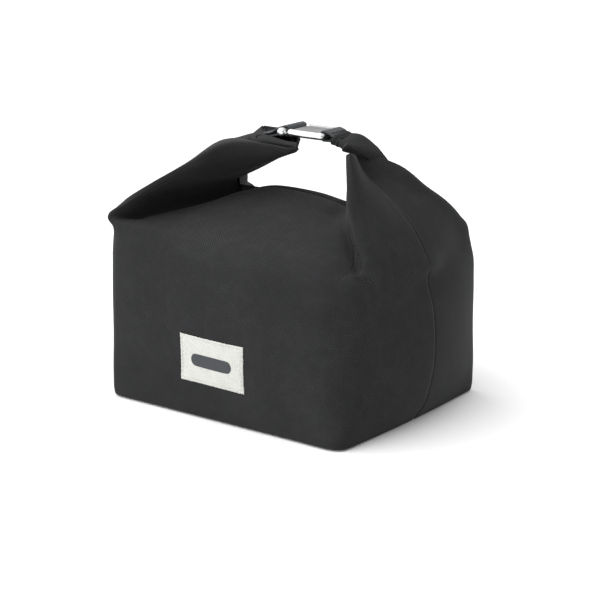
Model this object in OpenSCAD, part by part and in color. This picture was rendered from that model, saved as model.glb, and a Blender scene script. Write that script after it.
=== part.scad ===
// Insulated roll-top lunch cooler. The mouth is rolled towards the back, and the two ends of the
// roll are bent up over the bag and clipped together, so that they make the carrying handle.
// X runs along the front from left to right, Y from front to back, Z is up.
// The origin is the centre of the base, on the surface that the bag stands on.

/* [Bag] */
// Length of the base, left corner to right corner
base_l = 208; // [206:0.5:210]
// Depth of the base, front to back
base_w = 173; // [172:0.5:174]
// How far the side panels bulge out at mid height
side_bulge = 21; // [18:0.5:24]
// Radius of the four upright corners
corner_r = 14; // [13.5:0.5:15]
// Height of the front top edge
eave_h = 128; // [126:0.5:129]
// Height of the back top edge
back_eave_h = 121; // [118:0.5:122]
// Height of the crest, where the front slope ends
crest_h = 152.6; // [151:0.2:153]
// Height at which the upright corners stop and the handle gussets begin
shoulder_h = 136; // [133:0.5:136.5]

/* [Layers] */
// Thickness of the outer twill
shell_t = 1.2; // [0.8:0.1:1.2]
// Thickness of the insulating foam
foam_t = 4; // [3:0.5:4]
// Thickness of the wipe-clean lining
liner_t = 0.6; // [0.4:0.1:0.6]

/* [Label] */
// Width of the sewn label
label_w = 58.5; // [50:0.5:60]
// Height of the sewn label
label_h = 34.5; // [30:0.5:38]
// Centre of the label along the front
label_x = -5.8; // [-20:0.1:10]
// Height of the label's centre
label_z = 44; // [38:0.1:55]
// Width of the blank badge on the label
badge_w = 37.5; // [20:0.5:40]
// Height of the blank badge
badge_h = 9.3; // [6:0.1:12]
// Pitch of the stitches that hold the label
stitch_pitch = 3.9; // [3.5:0.1:6]

/* [Handle] */
// Width of the flattened roll
roll_w = 40; // [36:1:42]
// Thickness of the flattened roll
roll_t = 12; // [10:0.5:12]
// Width of the webbing
web_w = 20; // [16:0.5:20]
// Thickness of the webbing
web_t = 1.5; // [1.2:0.1:1.5]

/* [Hook] */
// Diameter of the two bars of the hook
bar_d = 5; // [4:0.1:5]
// Distance between the two bars
bar_gap = 34; // [32:0.5:35]
// Thickness of the hook's plate
plate_t = 2.6; // [2:0.1:3]
// Depth of the hook, front to back
hook_w = 26; // [25:0.5:28]

/* [Hidden] */

hl = base_l / 2;
hw = base_w / 2;
gap = 0.4;
e = 0.01;
cy = hw - corner_r;
levels = [0, 12, 34, 60, 88, 108, 122, shoulder_h];
crest_l = -46;
crest_r = 51;
// heights and places of the clip
clip_z = 198.5;
bar_l_x = 0;
bar_r_x = bar_l_x + bar_gap;

// side foam follows a flatter arc than the fabric outside it
foam_sag = 8.5;
foam_y = 70;
foam_x = hl - 3;
foam_R = (foam_y * foam_y + foam_sag * foam_sag) / (2 * foam_sag);
foam_cx = foam_x + foam_sag - foam_R;
foam_top = 122;
// the short edges of the base sheet are shallow arcs
base_R = (70 * 70 + 6 * 6) / 12;

// upright corner drifts in by 1.5 mm over its height
function xc(z) = hl - 0.011 * z;
// bulge of the side panel at mid depth, at height z
function sag(z) = side_bulge * pow(sin(180 * (z + 12) / 160), 0.7);
// half width of the bag at depth y and height z
function side_x(y, z) = xc(z) + sag(z) * (1 - pow(y / cy, 2));

// right-hand quarter of the front outline at height z, inset by d
function quarter(z, d) = concat(
    [for (i = [0:4]) let (y = -0.6 - (cy - 0.6) * i / 4) [side_x(y, z) - d, y]],
    [for (a = [30:30:90]) [xc(z) - corner_r + (corner_r - d) * cos(a), -cy - (corner_r - d) * sin(a)]]);
function flip(p) = [for (i = [len(p) - 1:-1:0]) [-p[i][0], p[i][1]]];
function half(z, d) = concat(quarter(z, d), flip(quarter(z, d)));
function at(p, z) = [for (q = p) [q[0], q[1], z]];

// solid between stacked closed sections, each a band with n points out and n points back
module band_loft(outer, inner) {
    n = len(outer[0]);
    m = len(outer);
    pts = [for (k = [0:m - 1]) each concat(outer[k], inner[k])];
    s = 2 * n;
    o = function (k, i) k * s + i;
    q = function (k, i) k * s + n + i;
    polyhedron(pts, concat(
        [for (k = [0:m - 2], i = [0:n - 2]) each [
            [o(k, i), o(k, i + 1), o(k + 1, i + 1)], [o(k, i), o(k + 1, i + 1), o(k + 1, i)],
            [q(k, i), q(k + 1, i + 1), q(k, i + 1)], [q(k, i), q(k + 1, i), q(k + 1, i + 1)]]],
        [for (k = [0:m - 2], j = [0, n - 1]) each (j == 0
            ? [[o(k, j), q(k + 1, j), q(k, j)], [o(k, j), o(k + 1, j), q(k + 1, j)]]
            : [[o(k, j), q(k, j), q(k + 1, j)], [o(k, j), q(k + 1, j), o(k + 1, j)]])],
        [for (i = [0:n - 2]) each [
            [o(0, i), q(0, i + 1), o(0, i + 1)], [o(0, i), q(0, i), q(0, i + 1)],
            [o(m - 1, i), o(m - 1, i + 1), q(m - 1, i + 1)], [o(m - 1, i), q(m - 1, i + 1), q(m - 1, i)]]]),
        convexity = 6);
}

// upright walls of the front half: front face, two corners and half of each side
module half_wall() {
    difference() {
        band_loft([for (z = levels) at(half(z, 0), z)], [for (z = levels) at(half(z, shell_t), z)]);
        translate([-(hl - corner_r), -hw - 5, eave_h]) cube([2 * (hl - corner_r), 30, 40]);
    }
}

// sloping top sheet: profile in Y and Z, cut to a trapezium in plan
module slope(profile, far, inset = 0) {
    intersection() {
        rotate([90, 0, 90]) translate([0, 0, -hl]) linear_extrude(height = base_l) polygon(profile);
        linear_extrude(height = 200) polygon([
            [-hl + corner_r, -hw - 1], [hl - corner_r, -hw - 1], [hl - 3 - inset, -hw + corner_r - 1],
            [crest_r - inset, far], [crest_l + inset, far], [-hl + 3 + inset, -hw + corner_r - 1]]);
    }
}

module outer_front() {
    color("#37383a") union() {
        half_wall();
        slope([[-hw, eave_h - 2], [-hw + shell_t, eave_h - 2], [-hw + shell_t, eave_h - shell_t + 0.4],
            [-2, crest_h - shell_t], [-2, crest_h], [-hw, eave_h]], -2);
    }
}

module outer_back() {
    color("#37383a") mirror([0, 1, 0]) union() {
        difference() {
            half_wall();
            translate([-(hl - corner_r), -hw - 5, back_eave_h]) cube([2 * (hl - corner_r), 30, 40]);
        }
        slope([[-hw, back_eave_h - 2], [-hw + shell_t, back_eave_h - 2], [-hw + shell_t, back_eave_h - shell_t + 0.3],
            [-29, 130.2], [-2, 139.6], [-2, 140.9], [-29, 131.5], [-hw, back_eave_h]], -2);
    }
}

// base sheet outline, grown by d
module base_outline(d) {
    r = base_R;
    c = hl + 4 - r;
    union() {
        square([2 * (hl - corner_r), 2 * (hw - 2.5 + d)], center = true);
        intersection() {
            translate([c, 0]) circle(r = r + d, $fn = 180);
            translate([-c, 0]) circle(r = r + d, $fn = 180);
            square([400, 2 * 70], center = true);
        }
    }
}

module outer_base() {
    color("#2c2d2f") linear_extrude(height = shell_t) base_outline(0);
}

// short cross seams at the foot of each side
module boxing_seams() {
    r = base_R;
    c = hl + 4 - r;
    color("#1d1d1f") for (s = [0, 1]) mirror([s, 0, 0]) intersection() {
        translate([c, 0, 0]) difference() {
            cylinder(r = r + 1.0, h = shell_t, $fn = 180);
            translate([0, 0, -1]) cylinder(r = r + 0.4, h = shell_t + 2, $fn = 180);
        }
        translate([80, -54, -1]) cube([60, 108, 5]);
    }
}

// stitched seam down the middle of a side, between the front and back pieces
module side_seam() {
    band_loft(
        [for (z = levels) [[side_x(0, z), -0.3, z], [side_x(0, z), 0.3, z]]],
        [for (z = levels) [[side_x(0, z) - shell_t, -0.3, z], [side_x(0, z) - shell_t, 0.3, z]]]);
}
module side_seam_left() { color("#1d1d1f") rotate([0, 0, 180]) side_seam(); }
module side_seam_right() { color("#1d1d1f") side_seam(); }

module foam_face(top) {
    translate([-86, -hw + shell_t + gap, 2]) cube([172, foam_t, top - 2]);
}
module foam_front() { color("#d8d8d2") foam_face(foam_top); }
module foam_back() { color("#d8d8d2") mirror([0, 1, 0]) foam_face(back_eave_h - 4); }

// upright curved sheet between two radii, on the right-hand side
module side_arc(r0, r1, y0, y1, z0, z1) {
    intersection() {
        translate([foam_cx, 0, z0]) difference() {
            cylinder(r = r0, h = z1 - z0, $fn = 240);
            translate([0, 0, -1]) cylinder(r = r1, h = z1 - z0 + 2, $fn = 240);
        }
        translate([70, y0, z0 - 1]) cube([60, y1 - y0, z1 - z0 + 2]);
    }
}
module foam_right() { color("#d8d8d2") side_arc(foam_R, foam_R - foam_t, -foam_y, foam_y, 2, foam_top); }
module foam_left() { color("#d8d8d2") mirror([1, 0, 0]) side_arc(foam_R, foam_R - foam_t, -foam_y, foam_y, 2, foam_top); }

liner_R = foam_R - foam_t - gap;
liner_y = hw - shell_t - gap - foam_t - gap;
module lens(r, y) {
    intersection() {
        translate([foam_cx, 0]) circle(r = r, $fn = 240);
        translate([-foam_cx, 0]) circle(r = r, $fn = 240);
        square([400, 2 * y], center = true);
    }
}
module foam_base() { color("#d8d8d2") translate([0, 0, 1.6]) linear_extrude(height = foam_t) lens(liner_R - 0.1, liner_y - 0.1); }
module liner_base() {
    color("#b9bcc0") translate([0, 0, 1.6 + foam_t + gap]) linear_extrude(height = liner_t)
        lens(liner_R - liner_t - gap, liner_y - liner_t - gap);
}

// lining of the front half: face, half of each side and the slope above
module liner_half(top, profile) {
    z0 = 1.6 + foam_t + gap;
    union() {
        intersection() {
            translate([0, 0, z0]) linear_extrude(height = top - z0) difference() {
                lens(liner_R, liner_y);
                lens(liner_R - liner_t, liner_y - liner_t);
            }
            translate([-150, -hw, 0]) cube([300, hw - 0.4, 200]);
        }
        slope(profile, -3, 10);
    }
}
module liner_front() {
    zl = eave_h + (crest_h - eave_h) * (hw - liner_y) / (hw - 2) - 2;
    color("#b9bcc0") liner_half(zl, [[-liner_y, zl - 2], [-liner_y + liner_t, zl - 2], [-liner_y + liner_t, zl - liner_t],
        [-3, crest_h - 2.9], [-3, crest_h - 2.3], [-liner_y, zl]]);
}
module liner_back() {
    zl = back_eave_h - 1.0;
    color("#b9bcc0") mirror([0, 1, 0]) liner_half(zl, [[-liner_y, zl - 2], [-liner_y + liner_t, zl - 2], [-liner_y + liner_t, zl - liner_t],
        [-29, 127.6], [-3, 136.4], [-3, 137], [-29, 128.2], [-liner_y, zl]]);
}

module label_patch() {
    color("#eeeee8") translate([label_x - label_w / 2, -hw - 0.85, label_z - label_h / 2]) cube([label_w, 0.8, label_h]);
}
module label_badge() {
    color("#45494f") translate([label_x, -hw - 0.9, label_z]) rotate([90, 0, 0]) linear_extrude(height = 0.3) union() {
        square([badge_w - badge_h, badge_h], center = true);
        for (s = [-1, 1]) translate([s * (badge_w - badge_h) / 2, 0]) circle(d = badge_h, $fn = 48);
    }
}
// one row of stitches along X or Z, centred on the label
module stitch_row(length, upright) {
    n = floor(length / stitch_pitch);
    for (i = [0:n - 1]) let (p = (i - (n - 1) / 2) * stitch_pitch)
        translate(upright ? [0, 0, p] : [p, 0, 0])
            cube(upright ? [0.5, 0.3, 2.4] : [2.4, 0.3, 0.5], center = true);
}
module label_stitching() {
    color("#d9d9d2") translate([label_x, -hw - 1.05, label_z]) {
        for (s = [-1, 1]) translate([0, 0, s * (label_h / 2 - 2)]) stitch_row(label_w - 8, false);
        for (s = [-1, 1]) translate([s * (label_w / 2 - 2), 0, 0]) stitch_row(label_h - 8, true);
    }
}

// flat section with round edges, w wide along X and t thick along Y
module stadium(w, t) {
    union() {
        square([w - t, t], center = true);
        for (s = [-1, 1]) translate([s * (w - t) / 2, 0]) circle(d = t, $fn = 48);
    }
}

// the middle of the rolled mouth, lying behind the crest on the back slope
module roll_centre() {
    color("#343537") translate([-64, 0, 0]) rotate([90, 0, 90]) linear_extrude(height = 130)
        translate([16.7, 142.7]) rotate(-20) stadium(38, 10);
}

// folded gusset that rises from a shoulder and leans in to the end of the roll
module gusset_ear(top_x, top_z, top_l, top_w) {
    hull() {
        translate([hl - 5.5, 0, 147]) cube([6, base_w - 14, 5], center = true);
        translate([top_x, 0, top_z]) cube([top_l, top_w, 6], center = true);
    }
}
module left_gusset_ear() { color("#37383a") mirror([1, 0, 0]) gusset_ear(26, 179, 6, 46); }
module right_gusset_ear() { color("#37383a") gusset_ear(67, 183, 8, 58); }

// flattened roll whose end face is centred on (x, z), running back along angle a for length l
module roll_end(x, z, a, l) {
    translate([x, 0, z]) rotate([0, a, 0]) rotate([0, 90, 0]) rotate([0, 0, 90]) linear_extrude(height = l) stadium(roll_w, roll_t);
}
// hem band round the last few millimetres of the roll
module roll_hem(x, z, a) {
    translate([x, 0, z]) rotate([0, a, 0]) rotate([0, 90, 0]) rotate([0, 0, 90]) translate([0, 0, 1])
        linear_extrude(height = 4) difference() {
            stadium(roll_w + 1.6, roll_t + 1.6);
            stadium(roll_w + 0.2, roll_t + 0.2);
        }
}
left_tip = [-18, 195];
right_tip = [49.5, 197];
left_a = 155;
right_a = 10;
module left_roll_end() { color("#343537") roll_end(left_tip[0], left_tip[1], left_a, 42); }
module right_roll_end() { color("#343537") roll_end(right_tip[0], right_tip[1], right_a, 22); }
module left_roll_hem() { color("#2a2b2d") roll_hem(left_tip[0], left_tip[1], left_a); }
module right_roll_hem() { color("#2a2b2d") roll_hem(right_tip[0], right_tip[1], right_a); }

// webbing is drawn as a side view in X and Z, then given its width along Y
module across(w) { rotate([90, 0, 0]) translate([0, 0, -w / 2]) linear_extrude(height = w) children(); }

// closed eye of webbing round the pivot bar of the hook
function eye_side(r, reach, tip) = concat(
    [for (a = [270:-15:90]) [r * cos(a), r * sin(a)]], [[reach, tip], [reach, -tip]]);
module right_webbing_tab() {
    r = bar_d / 2 + 0.3;
    color("#222428") translate([bar_r_x, 0, clip_z]) across(web_w) difference() {
        polygon(concat([for (a = [270:-15:90]) [(r + web_t) * cos(a), (r + web_t) * sin(a)]],
            [[10.5, web_t + 0.1], [12.3, web_t + 0.1], [12.3, -web_t - 0.1], [10.5, -web_t - 0.1]]));
        polygon(eye_side(r, 8.5, 0.2));
    }
}
// loop that catches the free bar of the hook, open towards the hook so that it can leave
module left_webbing_loop() {
    r = bar_d / 2 + 2.1;
    color("#222428") translate([bar_l_x, 0, clip_z]) across(web_w) polygon([[0, r + web_t], [-10.5, web_t + 0.1], [-12.3, web_t + 0.1],
        [-12.3, -web_t - 0.1], [-10.5, -web_t - 0.1], [0, -r - web_t], [0, -r], [-9, 0], [0, r]]);
}
module bartacks(x, s) {
    for (k = [0, 1]) translate([x + s * k * 1.0, 0, clip_z + web_t + 0.1 + 0.2]) cube([0.6, web_w - 4, 0.3], center = true);
}
module left_bartacks() { color("#101012") bartacks(bar_l_x - 11.9, 1); }
module right_bartacks() { color("#101012") bartacks(bar_r_x + 11.9, -1); }

// steel hook: a plate, a pivot bar held at both ends and a free bar held at the back only
module clip_hook() {
    color("#d9dbdd") union() {
        translate([bar_l_x + 6, -hook_w / 2, clip_z - plate_t / 2]) cube([bar_gap - 12, hook_w, plate_t]);
        for (s = [-1, 1]) translate([bar_r_x, s * (hook_w / 2 - 1.2), clip_z]) {
            rotate([90, 0, 0]) cylinder(d = bar_d, h = 2.4, center = true, $fn = 48);
            translate([-7, -1.2, -plate_t / 2]) cube([7, 2.4, plate_t]);
        }
        translate([bar_r_x, 0, clip_z]) rotate([90, 0, 0]) cylinder(d = bar_d, h = hook_w, center = true, $fn = 48);
        translate([bar_l_x, hook_w / 2 - 2.6, clip_z - plate_t / 2]) cube([7, 2.6, plate_t]);
        translate([bar_l_x, 0, clip_z]) rotate([90, 0, 0]) cylinder(d = bar_d, h = hook_w, center = true, $fn = 48);
        translate([bar_l_x, -hook_w / 2, clip_z]) sphere(d = bar_d + 1, $fn = 48);
    }
}

outer_front();
outer_back();
outer_base();
boxing_seams();
side_seam_left();
side_seam_right();
foam_front();
foam_back();
foam_left();
foam_right();
foam_base();
liner_front();
liner_back();
liner_base();
label_patch();
label_badge();
label_stitching();
roll_centre();
left_gusset_ear();
left_roll_end();
left_roll_hem();
right_gusset_ear();
right_roll_end();
right_roll_hem();
left_webbing_loop();
left_bartacks();
right_webbing_tab();
right_bartacks();
clip_hook();
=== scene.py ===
import math

import bmesh
import bpy
import numpy as np
from mathutils import Matrix, Vector


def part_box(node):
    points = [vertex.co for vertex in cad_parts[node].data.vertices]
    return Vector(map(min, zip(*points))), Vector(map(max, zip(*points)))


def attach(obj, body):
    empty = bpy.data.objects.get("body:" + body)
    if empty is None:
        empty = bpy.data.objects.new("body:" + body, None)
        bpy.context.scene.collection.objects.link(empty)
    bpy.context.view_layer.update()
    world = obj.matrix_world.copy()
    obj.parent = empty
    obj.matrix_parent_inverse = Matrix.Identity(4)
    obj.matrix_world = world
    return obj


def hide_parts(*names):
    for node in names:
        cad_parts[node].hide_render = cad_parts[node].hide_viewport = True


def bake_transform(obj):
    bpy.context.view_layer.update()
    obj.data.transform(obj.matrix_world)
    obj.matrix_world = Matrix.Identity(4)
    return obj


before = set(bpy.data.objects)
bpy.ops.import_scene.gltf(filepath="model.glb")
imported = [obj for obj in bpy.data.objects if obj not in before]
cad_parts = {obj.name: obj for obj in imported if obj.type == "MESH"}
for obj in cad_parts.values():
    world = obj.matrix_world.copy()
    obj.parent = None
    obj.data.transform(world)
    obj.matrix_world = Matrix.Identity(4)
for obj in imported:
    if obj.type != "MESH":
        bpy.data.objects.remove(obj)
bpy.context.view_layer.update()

RNG = np.random.RandomState(7)

# ---------------------------------------------------------------- sizes, from the CAD frame
F_LO, F_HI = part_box("outer_front")
B_LO, B_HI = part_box("outer_back")
BASE_LO, BASE_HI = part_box("outer_base")
HW = 0.0865                       # half depth of the bag
HL = 0.104                        # half length at the upright corners
ROLL_LO, ROLL_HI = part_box("roll_centre")
HOOK_LO, HOOK_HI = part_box("clip_hook")
PATCH_LO, PATCH_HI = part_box("label_patch")
BADGE_LO, BADGE_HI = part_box("label_badge")
CM = 0.01


# ---------------------------------------------------------------- node helpers
class Tree:
    """Small helper for procedural materials."""

    def __init__(self, name):
        self.mat = bpy.data.materials.new(name)
        self.mat.use_nodes = True
        self.nt = self.mat.node_tree
        self.nt.nodes.clear()
        self.out = self.nt.nodes.new("ShaderNodeOutputMaterial")
        self.bsdf = self.nt.nodes.new("ShaderNodeBsdfPrincipled")
        self.nt.links.new(self.bsdf.outputs[0], self.out.inputs[0])
        self.co = self.nt.nodes.new("ShaderNodeTexCoord").outputs["Object"]

    def link(self, a, b):
        self.nt.links.new(a, b)

    def put(self, socket, value):
        if hasattr(value, "is_output"):
            self.link(value, socket)
        else:
            socket.default_value = value

    def math(self, op, a, b=0.0, c=None, clamp=False):
        n = self.nt.nodes.new("ShaderNodeMath")
        n.operation = op
        n.use_clamp = clamp
        self.put(n.inputs[0], a)
        self.put(n.inputs[1], b)
        if c is not None:
            self.put(n.inputs[2], c)
        return n.outputs[0]

    def noise(self, scale, detail=3.0, rough=0.55, vec=None):
        n = self.nt.nodes.new("ShaderNodeTexNoise")
        n.inputs["Scale"].default_value = scale
        n.inputs["Detail"].default_value = detail
        n.inputs["Roughness"].default_value = rough
        self.link(vec if vec is not None else self.co, n.inputs["Vector"])
        return n.outputs["Fac"]

    def ramp(self, fac, stops):
        n = self.nt.nodes.new("ShaderNodeValToRGB")
        el = n.color_ramp.elements
        while len(el) < len(stops):
            el.new(0.5)
        for e, (p, c) in zip(el, stops):
            e.position = p
            e.color = (*c, 1.0) if len(c) == 3 else c
        self.link(fac, n.inputs[0])
        return n.outputs["Color"]

    def mix(self, fac, a, b, mode="MIX"):
        n = self.nt.nodes.new("ShaderNodeMix")
        n.data_type = "RGBA"
        n.blend_type = mode
        self.put(n.inputs[0], fac)
        self.put(n.inputs[6], a)
        self.put(n.inputs[7], b)
        return n.outputs[2]

    def split(self, vec):
        n = self.nt.nodes.new("ShaderNodeSeparateXYZ")
        self.link(vec, n.inputs[0])
        return n.outputs

    def attr(self, name):
        n = self.nt.nodes.new("ShaderNodeAttribute")
        n.attribute_name = name
        return n

    def bump(self, height, strength, distance, normal=None):
        n = self.nt.nodes.new("ShaderNodeBump")
        n.inputs["Strength"].default_value = strength
        n.inputs["Distance"].default_value = distance
        self.link(height, n.inputs["Height"])
        if normal is not None:
            self.link(normal, n.inputs["Normal"])
        return n.outputs[0]


def twill_material(name, base, bright, pitch=0.00085, rough=0.62, sheen=0.25, uv="weave", spec=0.3):
    """Diagonal twill: ribs across a cloth map (metres), yarn breaks along each rib, slow colour drift."""
    t = Tree(name)
    a = t.attr(uv)
    x, y, _ = t.split(a.outputs["Vector"])
    k = 2 * math.pi / pitch
    diag = t.math("ADD", x, y)
    rib = t.math("SINE", t.math("MULTIPLY", diag, k * 0.7071))
    yarn = t.math("SINE", t.math("MULTIPLY", t.math("SUBTRACT", x, t.math("MULTIPLY", y, 0.45)), k * 1.1))
    weave = t.math("ADD", t.math("MULTIPLY", rib, 0.36), t.math("MULTIPLY", yarn, 0.14))
    weave = t.math("ADD", weave, 0.5)
    fuzz = t.noise(2600.0, 2.0, 0.6)
    drift = t.noise(16.0, 4.0, 0.6)
    fine = t.noise(140.0, 3.0, 0.6)
    tone = t.math("ADD", t.math("MULTIPLY", weave, 0.5), t.math("MULTIPLY", fuzz, 0.28))
    tone = t.math("ADD", tone, t.math("MULTIPLY", t.math("SUBTRACT", drift, 0.5), 0.5))
    tone = t.math("ADD", tone, t.math("MULTIPLY", t.math("SUBTRACT", fine, 0.5), 0.35))
    col = t.ramp(tone, [(0.12, tuple(0.72 * v for v in base)), (0.5, base), (0.95, bright)])
    edge = t.attr("wear").outputs["Fac"]
    worn = t.mix(t.math("MULTIPLY", t.math("MULTIPLY", edge, 0.5), fine), col, tuple(1.5 * v for v in bright) + (1.0,))
    t.link(worn, t.bsdf.inputs["Base Color"])
    t.link(t.math("ADD", rough - 0.07, t.math("MULTIPLY", fine, 0.16)), t.bsdf.inputs["Roughness"])
    t.bsdf.inputs["Sheen Weight"].default_value = sheen
    t.bsdf.inputs["Sheen Roughness"].default_value = 0.42
    t.bsdf.inputs["Specular IOR Level"].default_value = spec
    height = t.math("ADD", weave, t.math("MULTIPLY", fuzz, 0.35))
    soft = t.bump(t.noise(55.0, 3.0, 0.5), 0.10, 0.0012)
    t.link(t.bump(height, 0.55, 0.00012, soft), t.bsdf.inputs["Normal"])
    return t.mat


def canvas_material(name, base, dark, pitch=0.0007):
    t = Tree(name)
    x, y, z = t.split(t.co)
    k = 2 * math.pi / pitch
    wx = t.math("SINE", t.math("MULTIPLY", x, k))
    wz = t.math("SINE", t.math("MULTIPLY", z, k))
    w = t.math("MULTIPLY", wx, wz)
    fuzz = t.noise(1500.0, 3.0)
    slub = t.noise(90.0, 3.0)
    tone = t.math("ADD", t.math("MULTIPLY", w, 0.18), t.math("ADD", t.math("MULTIPLY", fuzz, 0.5), t.math("MULTIPLY", slub, 0.4)))
    t.link(t.ramp(tone, [(0.1, dark), (0.62, base)]), t.bsdf.inputs["Base Color"])
    t.bsdf.inputs["Roughness"].default_value = 0.85
    t.bsdf.inputs["Sheen Weight"].default_value = 0.15
    t.bsdf.inputs["Specular IOR Level"].default_value = 0.2
    t.link(t.bump(t.math("ADD", w, fuzz), 0.5, 0.0001), t.bsdf.inputs["Normal"])
    return t.mat


def webbing_material(name, base, bright, pitch=0.0011):
    """Ribbed webbing: ribs run across the strap, so they vary along the path coordinate."""
    t = Tree(name)
    a = t.attr("weave")
    x, y, _ = t.split(a.outputs["Vector"])
    k = 2 * math.pi / pitch
    rib = t.math("SINE", t.math("MULTIPLY", x, k))
    cross = t.math("SINE", t.math("MULTIPLY", t.math("ADD", y, t.math("MULTIPLY", x, 0.5)), k * 0.8))
    w = t.math("ADD", t.math("MULTIPLY", rib, 0.35), t.math("ADD", t.math("MULTIPLY", cross, 0.2), 0.5))
    fuzz = t.noise(2200.0, 2.0)
    tone = t.math("ADD", t.math("MULTIPLY", w, 0.6), t.math("MULTIPLY", fuzz, 0.4))
    t.link(t.ramp(tone, [(0.2, base), (0.9, bright)]), t.bsdf.inputs["Base Color"])
    t.link(t.math("ADD", 0.5, t.math("MULTIPLY", fuzz, 0.2)), t.bsdf.inputs["Roughness"])
    t.bsdf.inputs["Sheen Weight"].default_value = 0.15
    t.link(t.bump(w, 0.8, 0.0002), t.bsdf.inputs["Normal"])
    return t.mat


def thread_material(name, base, bright):
    t = Tree(name)
    ply = t.noise(1800.0, 2.0)
    t.link(t.ramp(ply, [(0.3, base), (0.7, bright)]), t.bsdf.inputs["Base Color"])
    t.bsdf.inputs["Roughness"].default_value = 0.7
    t.bsdf.inputs["Sheen Weight"].default_value = 0.2
    t.link(t.bump(ply, 0.6, 0.0001), t.bsdf.inputs["Normal"])
    return t.mat


def steel_material(name):
    t = Tree(name)
    mapping = t.nt.nodes.new("ShaderNodeMapping")
    mapping.inputs["Scale"].default_value = (1.0, 14.0, 14.0)
    t.link(t.co, mapping.inputs["Vector"])
    grain = t.noise(900.0, 3.0, 0.6, mapping.outputs[0])
    smear = t.noise(60.0, 3.0, 0.6)
    t.link(t.ramp(t.math("ADD", t.math("MULTIPLY", grain, 0.5), t.math("MULTIPLY", smear, 0.5)),
                  [(0.25, (0.60, 0.61, 0.62)), (0.75, (0.86, 0.86, 0.86))]), t.bsdf.inputs["Base Color"])
    t.bsdf.inputs["Metallic"].default_value = 1.0
    t.link(t.math("ADD", 0.16, t.math("MULTIPLY", t.math("ADD", grain, smear), 0.09)), t.bsdf.inputs["Roughness"])
    t.link(t.bump(grain, 0.15, 0.00005), t.bsdf.inputs["Normal"])
    return t.mat


def plastic_material(name, base, bright, rough=0.45):
    t = Tree(name)
    n = t.noise(300.0, 4.0)
    f = t.noise(2400.0, 2.0)
    t.link(t.ramp(n, [(0.3, base), (0.7, bright)]), t.bsdf.inputs["Base Color"])
    t.link(t.math("ADD", rough - 0.05, t.math("MULTIPLY", f, 0.12)), t.bsdf.inputs["Roughness"])
    t.link(t.bump(f, 0.2, 0.00005), t.bsdf.inputs["Normal"])
    return t.mat


def foam_material(name):
    t = Tree(name)
    v = t.nt.nodes.new("ShaderNodeTexVoronoi")
    v.inputs["Scale"].default_value = 900.0
    t.link(t.co, v.inputs["Vector"])
    d = v.outputs["Distance"]
    t.link(t.ramp(d, [(0.0, (0.62, 0.62, 0.58)), (0.6, (0.80, 0.80, 0.76))]), t.bsdf.inputs["Base Color"])
    t.bsdf.inputs["Roughness"].default_value = 0.9
    t.link(t.bump(d, 0.4, 0.0002), t.bsdf.inputs["Normal"])
    return t.mat


TWILL = twill_material("twill", (0.0182, 0.0185, 0.0193), (0.0490, 0.0495, 0.0512), pitch=0.0016, rough=0.82, sheen=0.05, spec=0.12)
HEM = twill_material("hem_twill", (0.0110, 0.0113, 0.0120), (0.0310, 0.0315, 0.0325), pitch=0.0014, rough=0.82, sheen=0.04, spec=0.12)
WEB = webbing_material("webbing", (0.006, 0.008, 0.011), (0.022, 0.027, 0.034))
THREAD = thread_material("dark_thread", (0.010, 0.010, 0.011), (0.030, 0.030, 0.032))
# seam thread: real thread, coloured near-black to paint the shade in the seam grooves
SEAM_SHADE_THREAD = thread_material("seam_dark", (0.003, 0.003, 0.0035), (0.008, 0.008, 0.009))
CANVAS = canvas_material("label_canvas", (0.60, 0.60, 0.57), (0.42, 0.42, 0.39))
CANVAS_THREAD = thread_material("label_thread", (0.50, 0.50, 0.47), (0.68, 0.68, 0.65))
BADGE = plastic_material("badge", (0.026, 0.029, 0.034), (0.036, 0.040, 0.047), rough=0.7)
STEEL = steel_material("steel")
FOAM = foam_material("foam")
LINER = plastic_material("liner", (0.42, 0.44, 0.46), (0.56, 0.58, 0.60), rough=0.35)


# ---------------------------------------------------------------- mesh helpers
def catmull(points, sub, tension=0.5):
    """Resamples an (n, ..., 3) array through its points, sub steps per interval. Tangents allow for
    uneven spacing, so that close points don't make the curve overshoot."""
    p = np.asarray(points, float)
    n = len(p)
    ext = np.concatenate([[2 * p[0] - p[1]], p, [2 * p[-1] - p[-2]]])
    h = np.linalg.norm(np.diff(ext, axis=0), axis=-1, keepdims=True) ** 0.8 + 1e-7
    slope = np.diff(ext, axis=0) / h
    m = (slope[:-1] * h[1:] + slope[1:] * h[:-1]) / (h[:-1] + h[1:]) * (2 * tension)
    out = []
    ts = np.arange(sub) / sub
    for i in range(n - 1):
        hi = h[i + 1]
        for t in ts:
            t2, t3 = t * t, t * t * t
            out.append((2 * t3 - 3 * t2 + 1) * p[i] + (t3 - 2 * t2 + t) * hi * m[i]
                       + (-2 * t3 + 3 * t2) * p[i + 1] + (t3 - t2) * hi * m[i + 1])
    out.append(p[-1])
    return np.array(out)


def mesh_from(name, verts, faces, mat, weave=None):
    me = bpy.data.meshes.new(name)
    me.from_pydata([tuple(v) for v in verts], [], [tuple(f) for f in faces])
    me.validate()
    me.shade_smooth()
    if weave is not None:
        at = me.attributes.new("weave", "FLOAT_VECTOR", "POINT")
        w = np.zeros((len(verts), 3), np.float32)
        w[:, :2] = np.asarray(weave)[:, :2]
        at.data.foreach_set("vector", w.ravel())
    ob = bpy.data.objects.new(name, me)
    bpy.context.scene.collection.objects.link(ob)
    ob.data.materials.append(mat)
    return ob


def grid_faces(nr, nc, keep=None, flip=False, closed=False):
    out = []
    last = nc if closed else nc - 1
    for r in range(nr - 1):
        for c in range(last):
            if keep is not None and not keep[r, c]:
                continue
            d = (c + 1) % nc
            f = (r * nc + c, r * nc + d, (r + 1) * nc + d, (r + 1) * nc + c)
            out.append(f[::-1] if flip else f)
    return out


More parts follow.
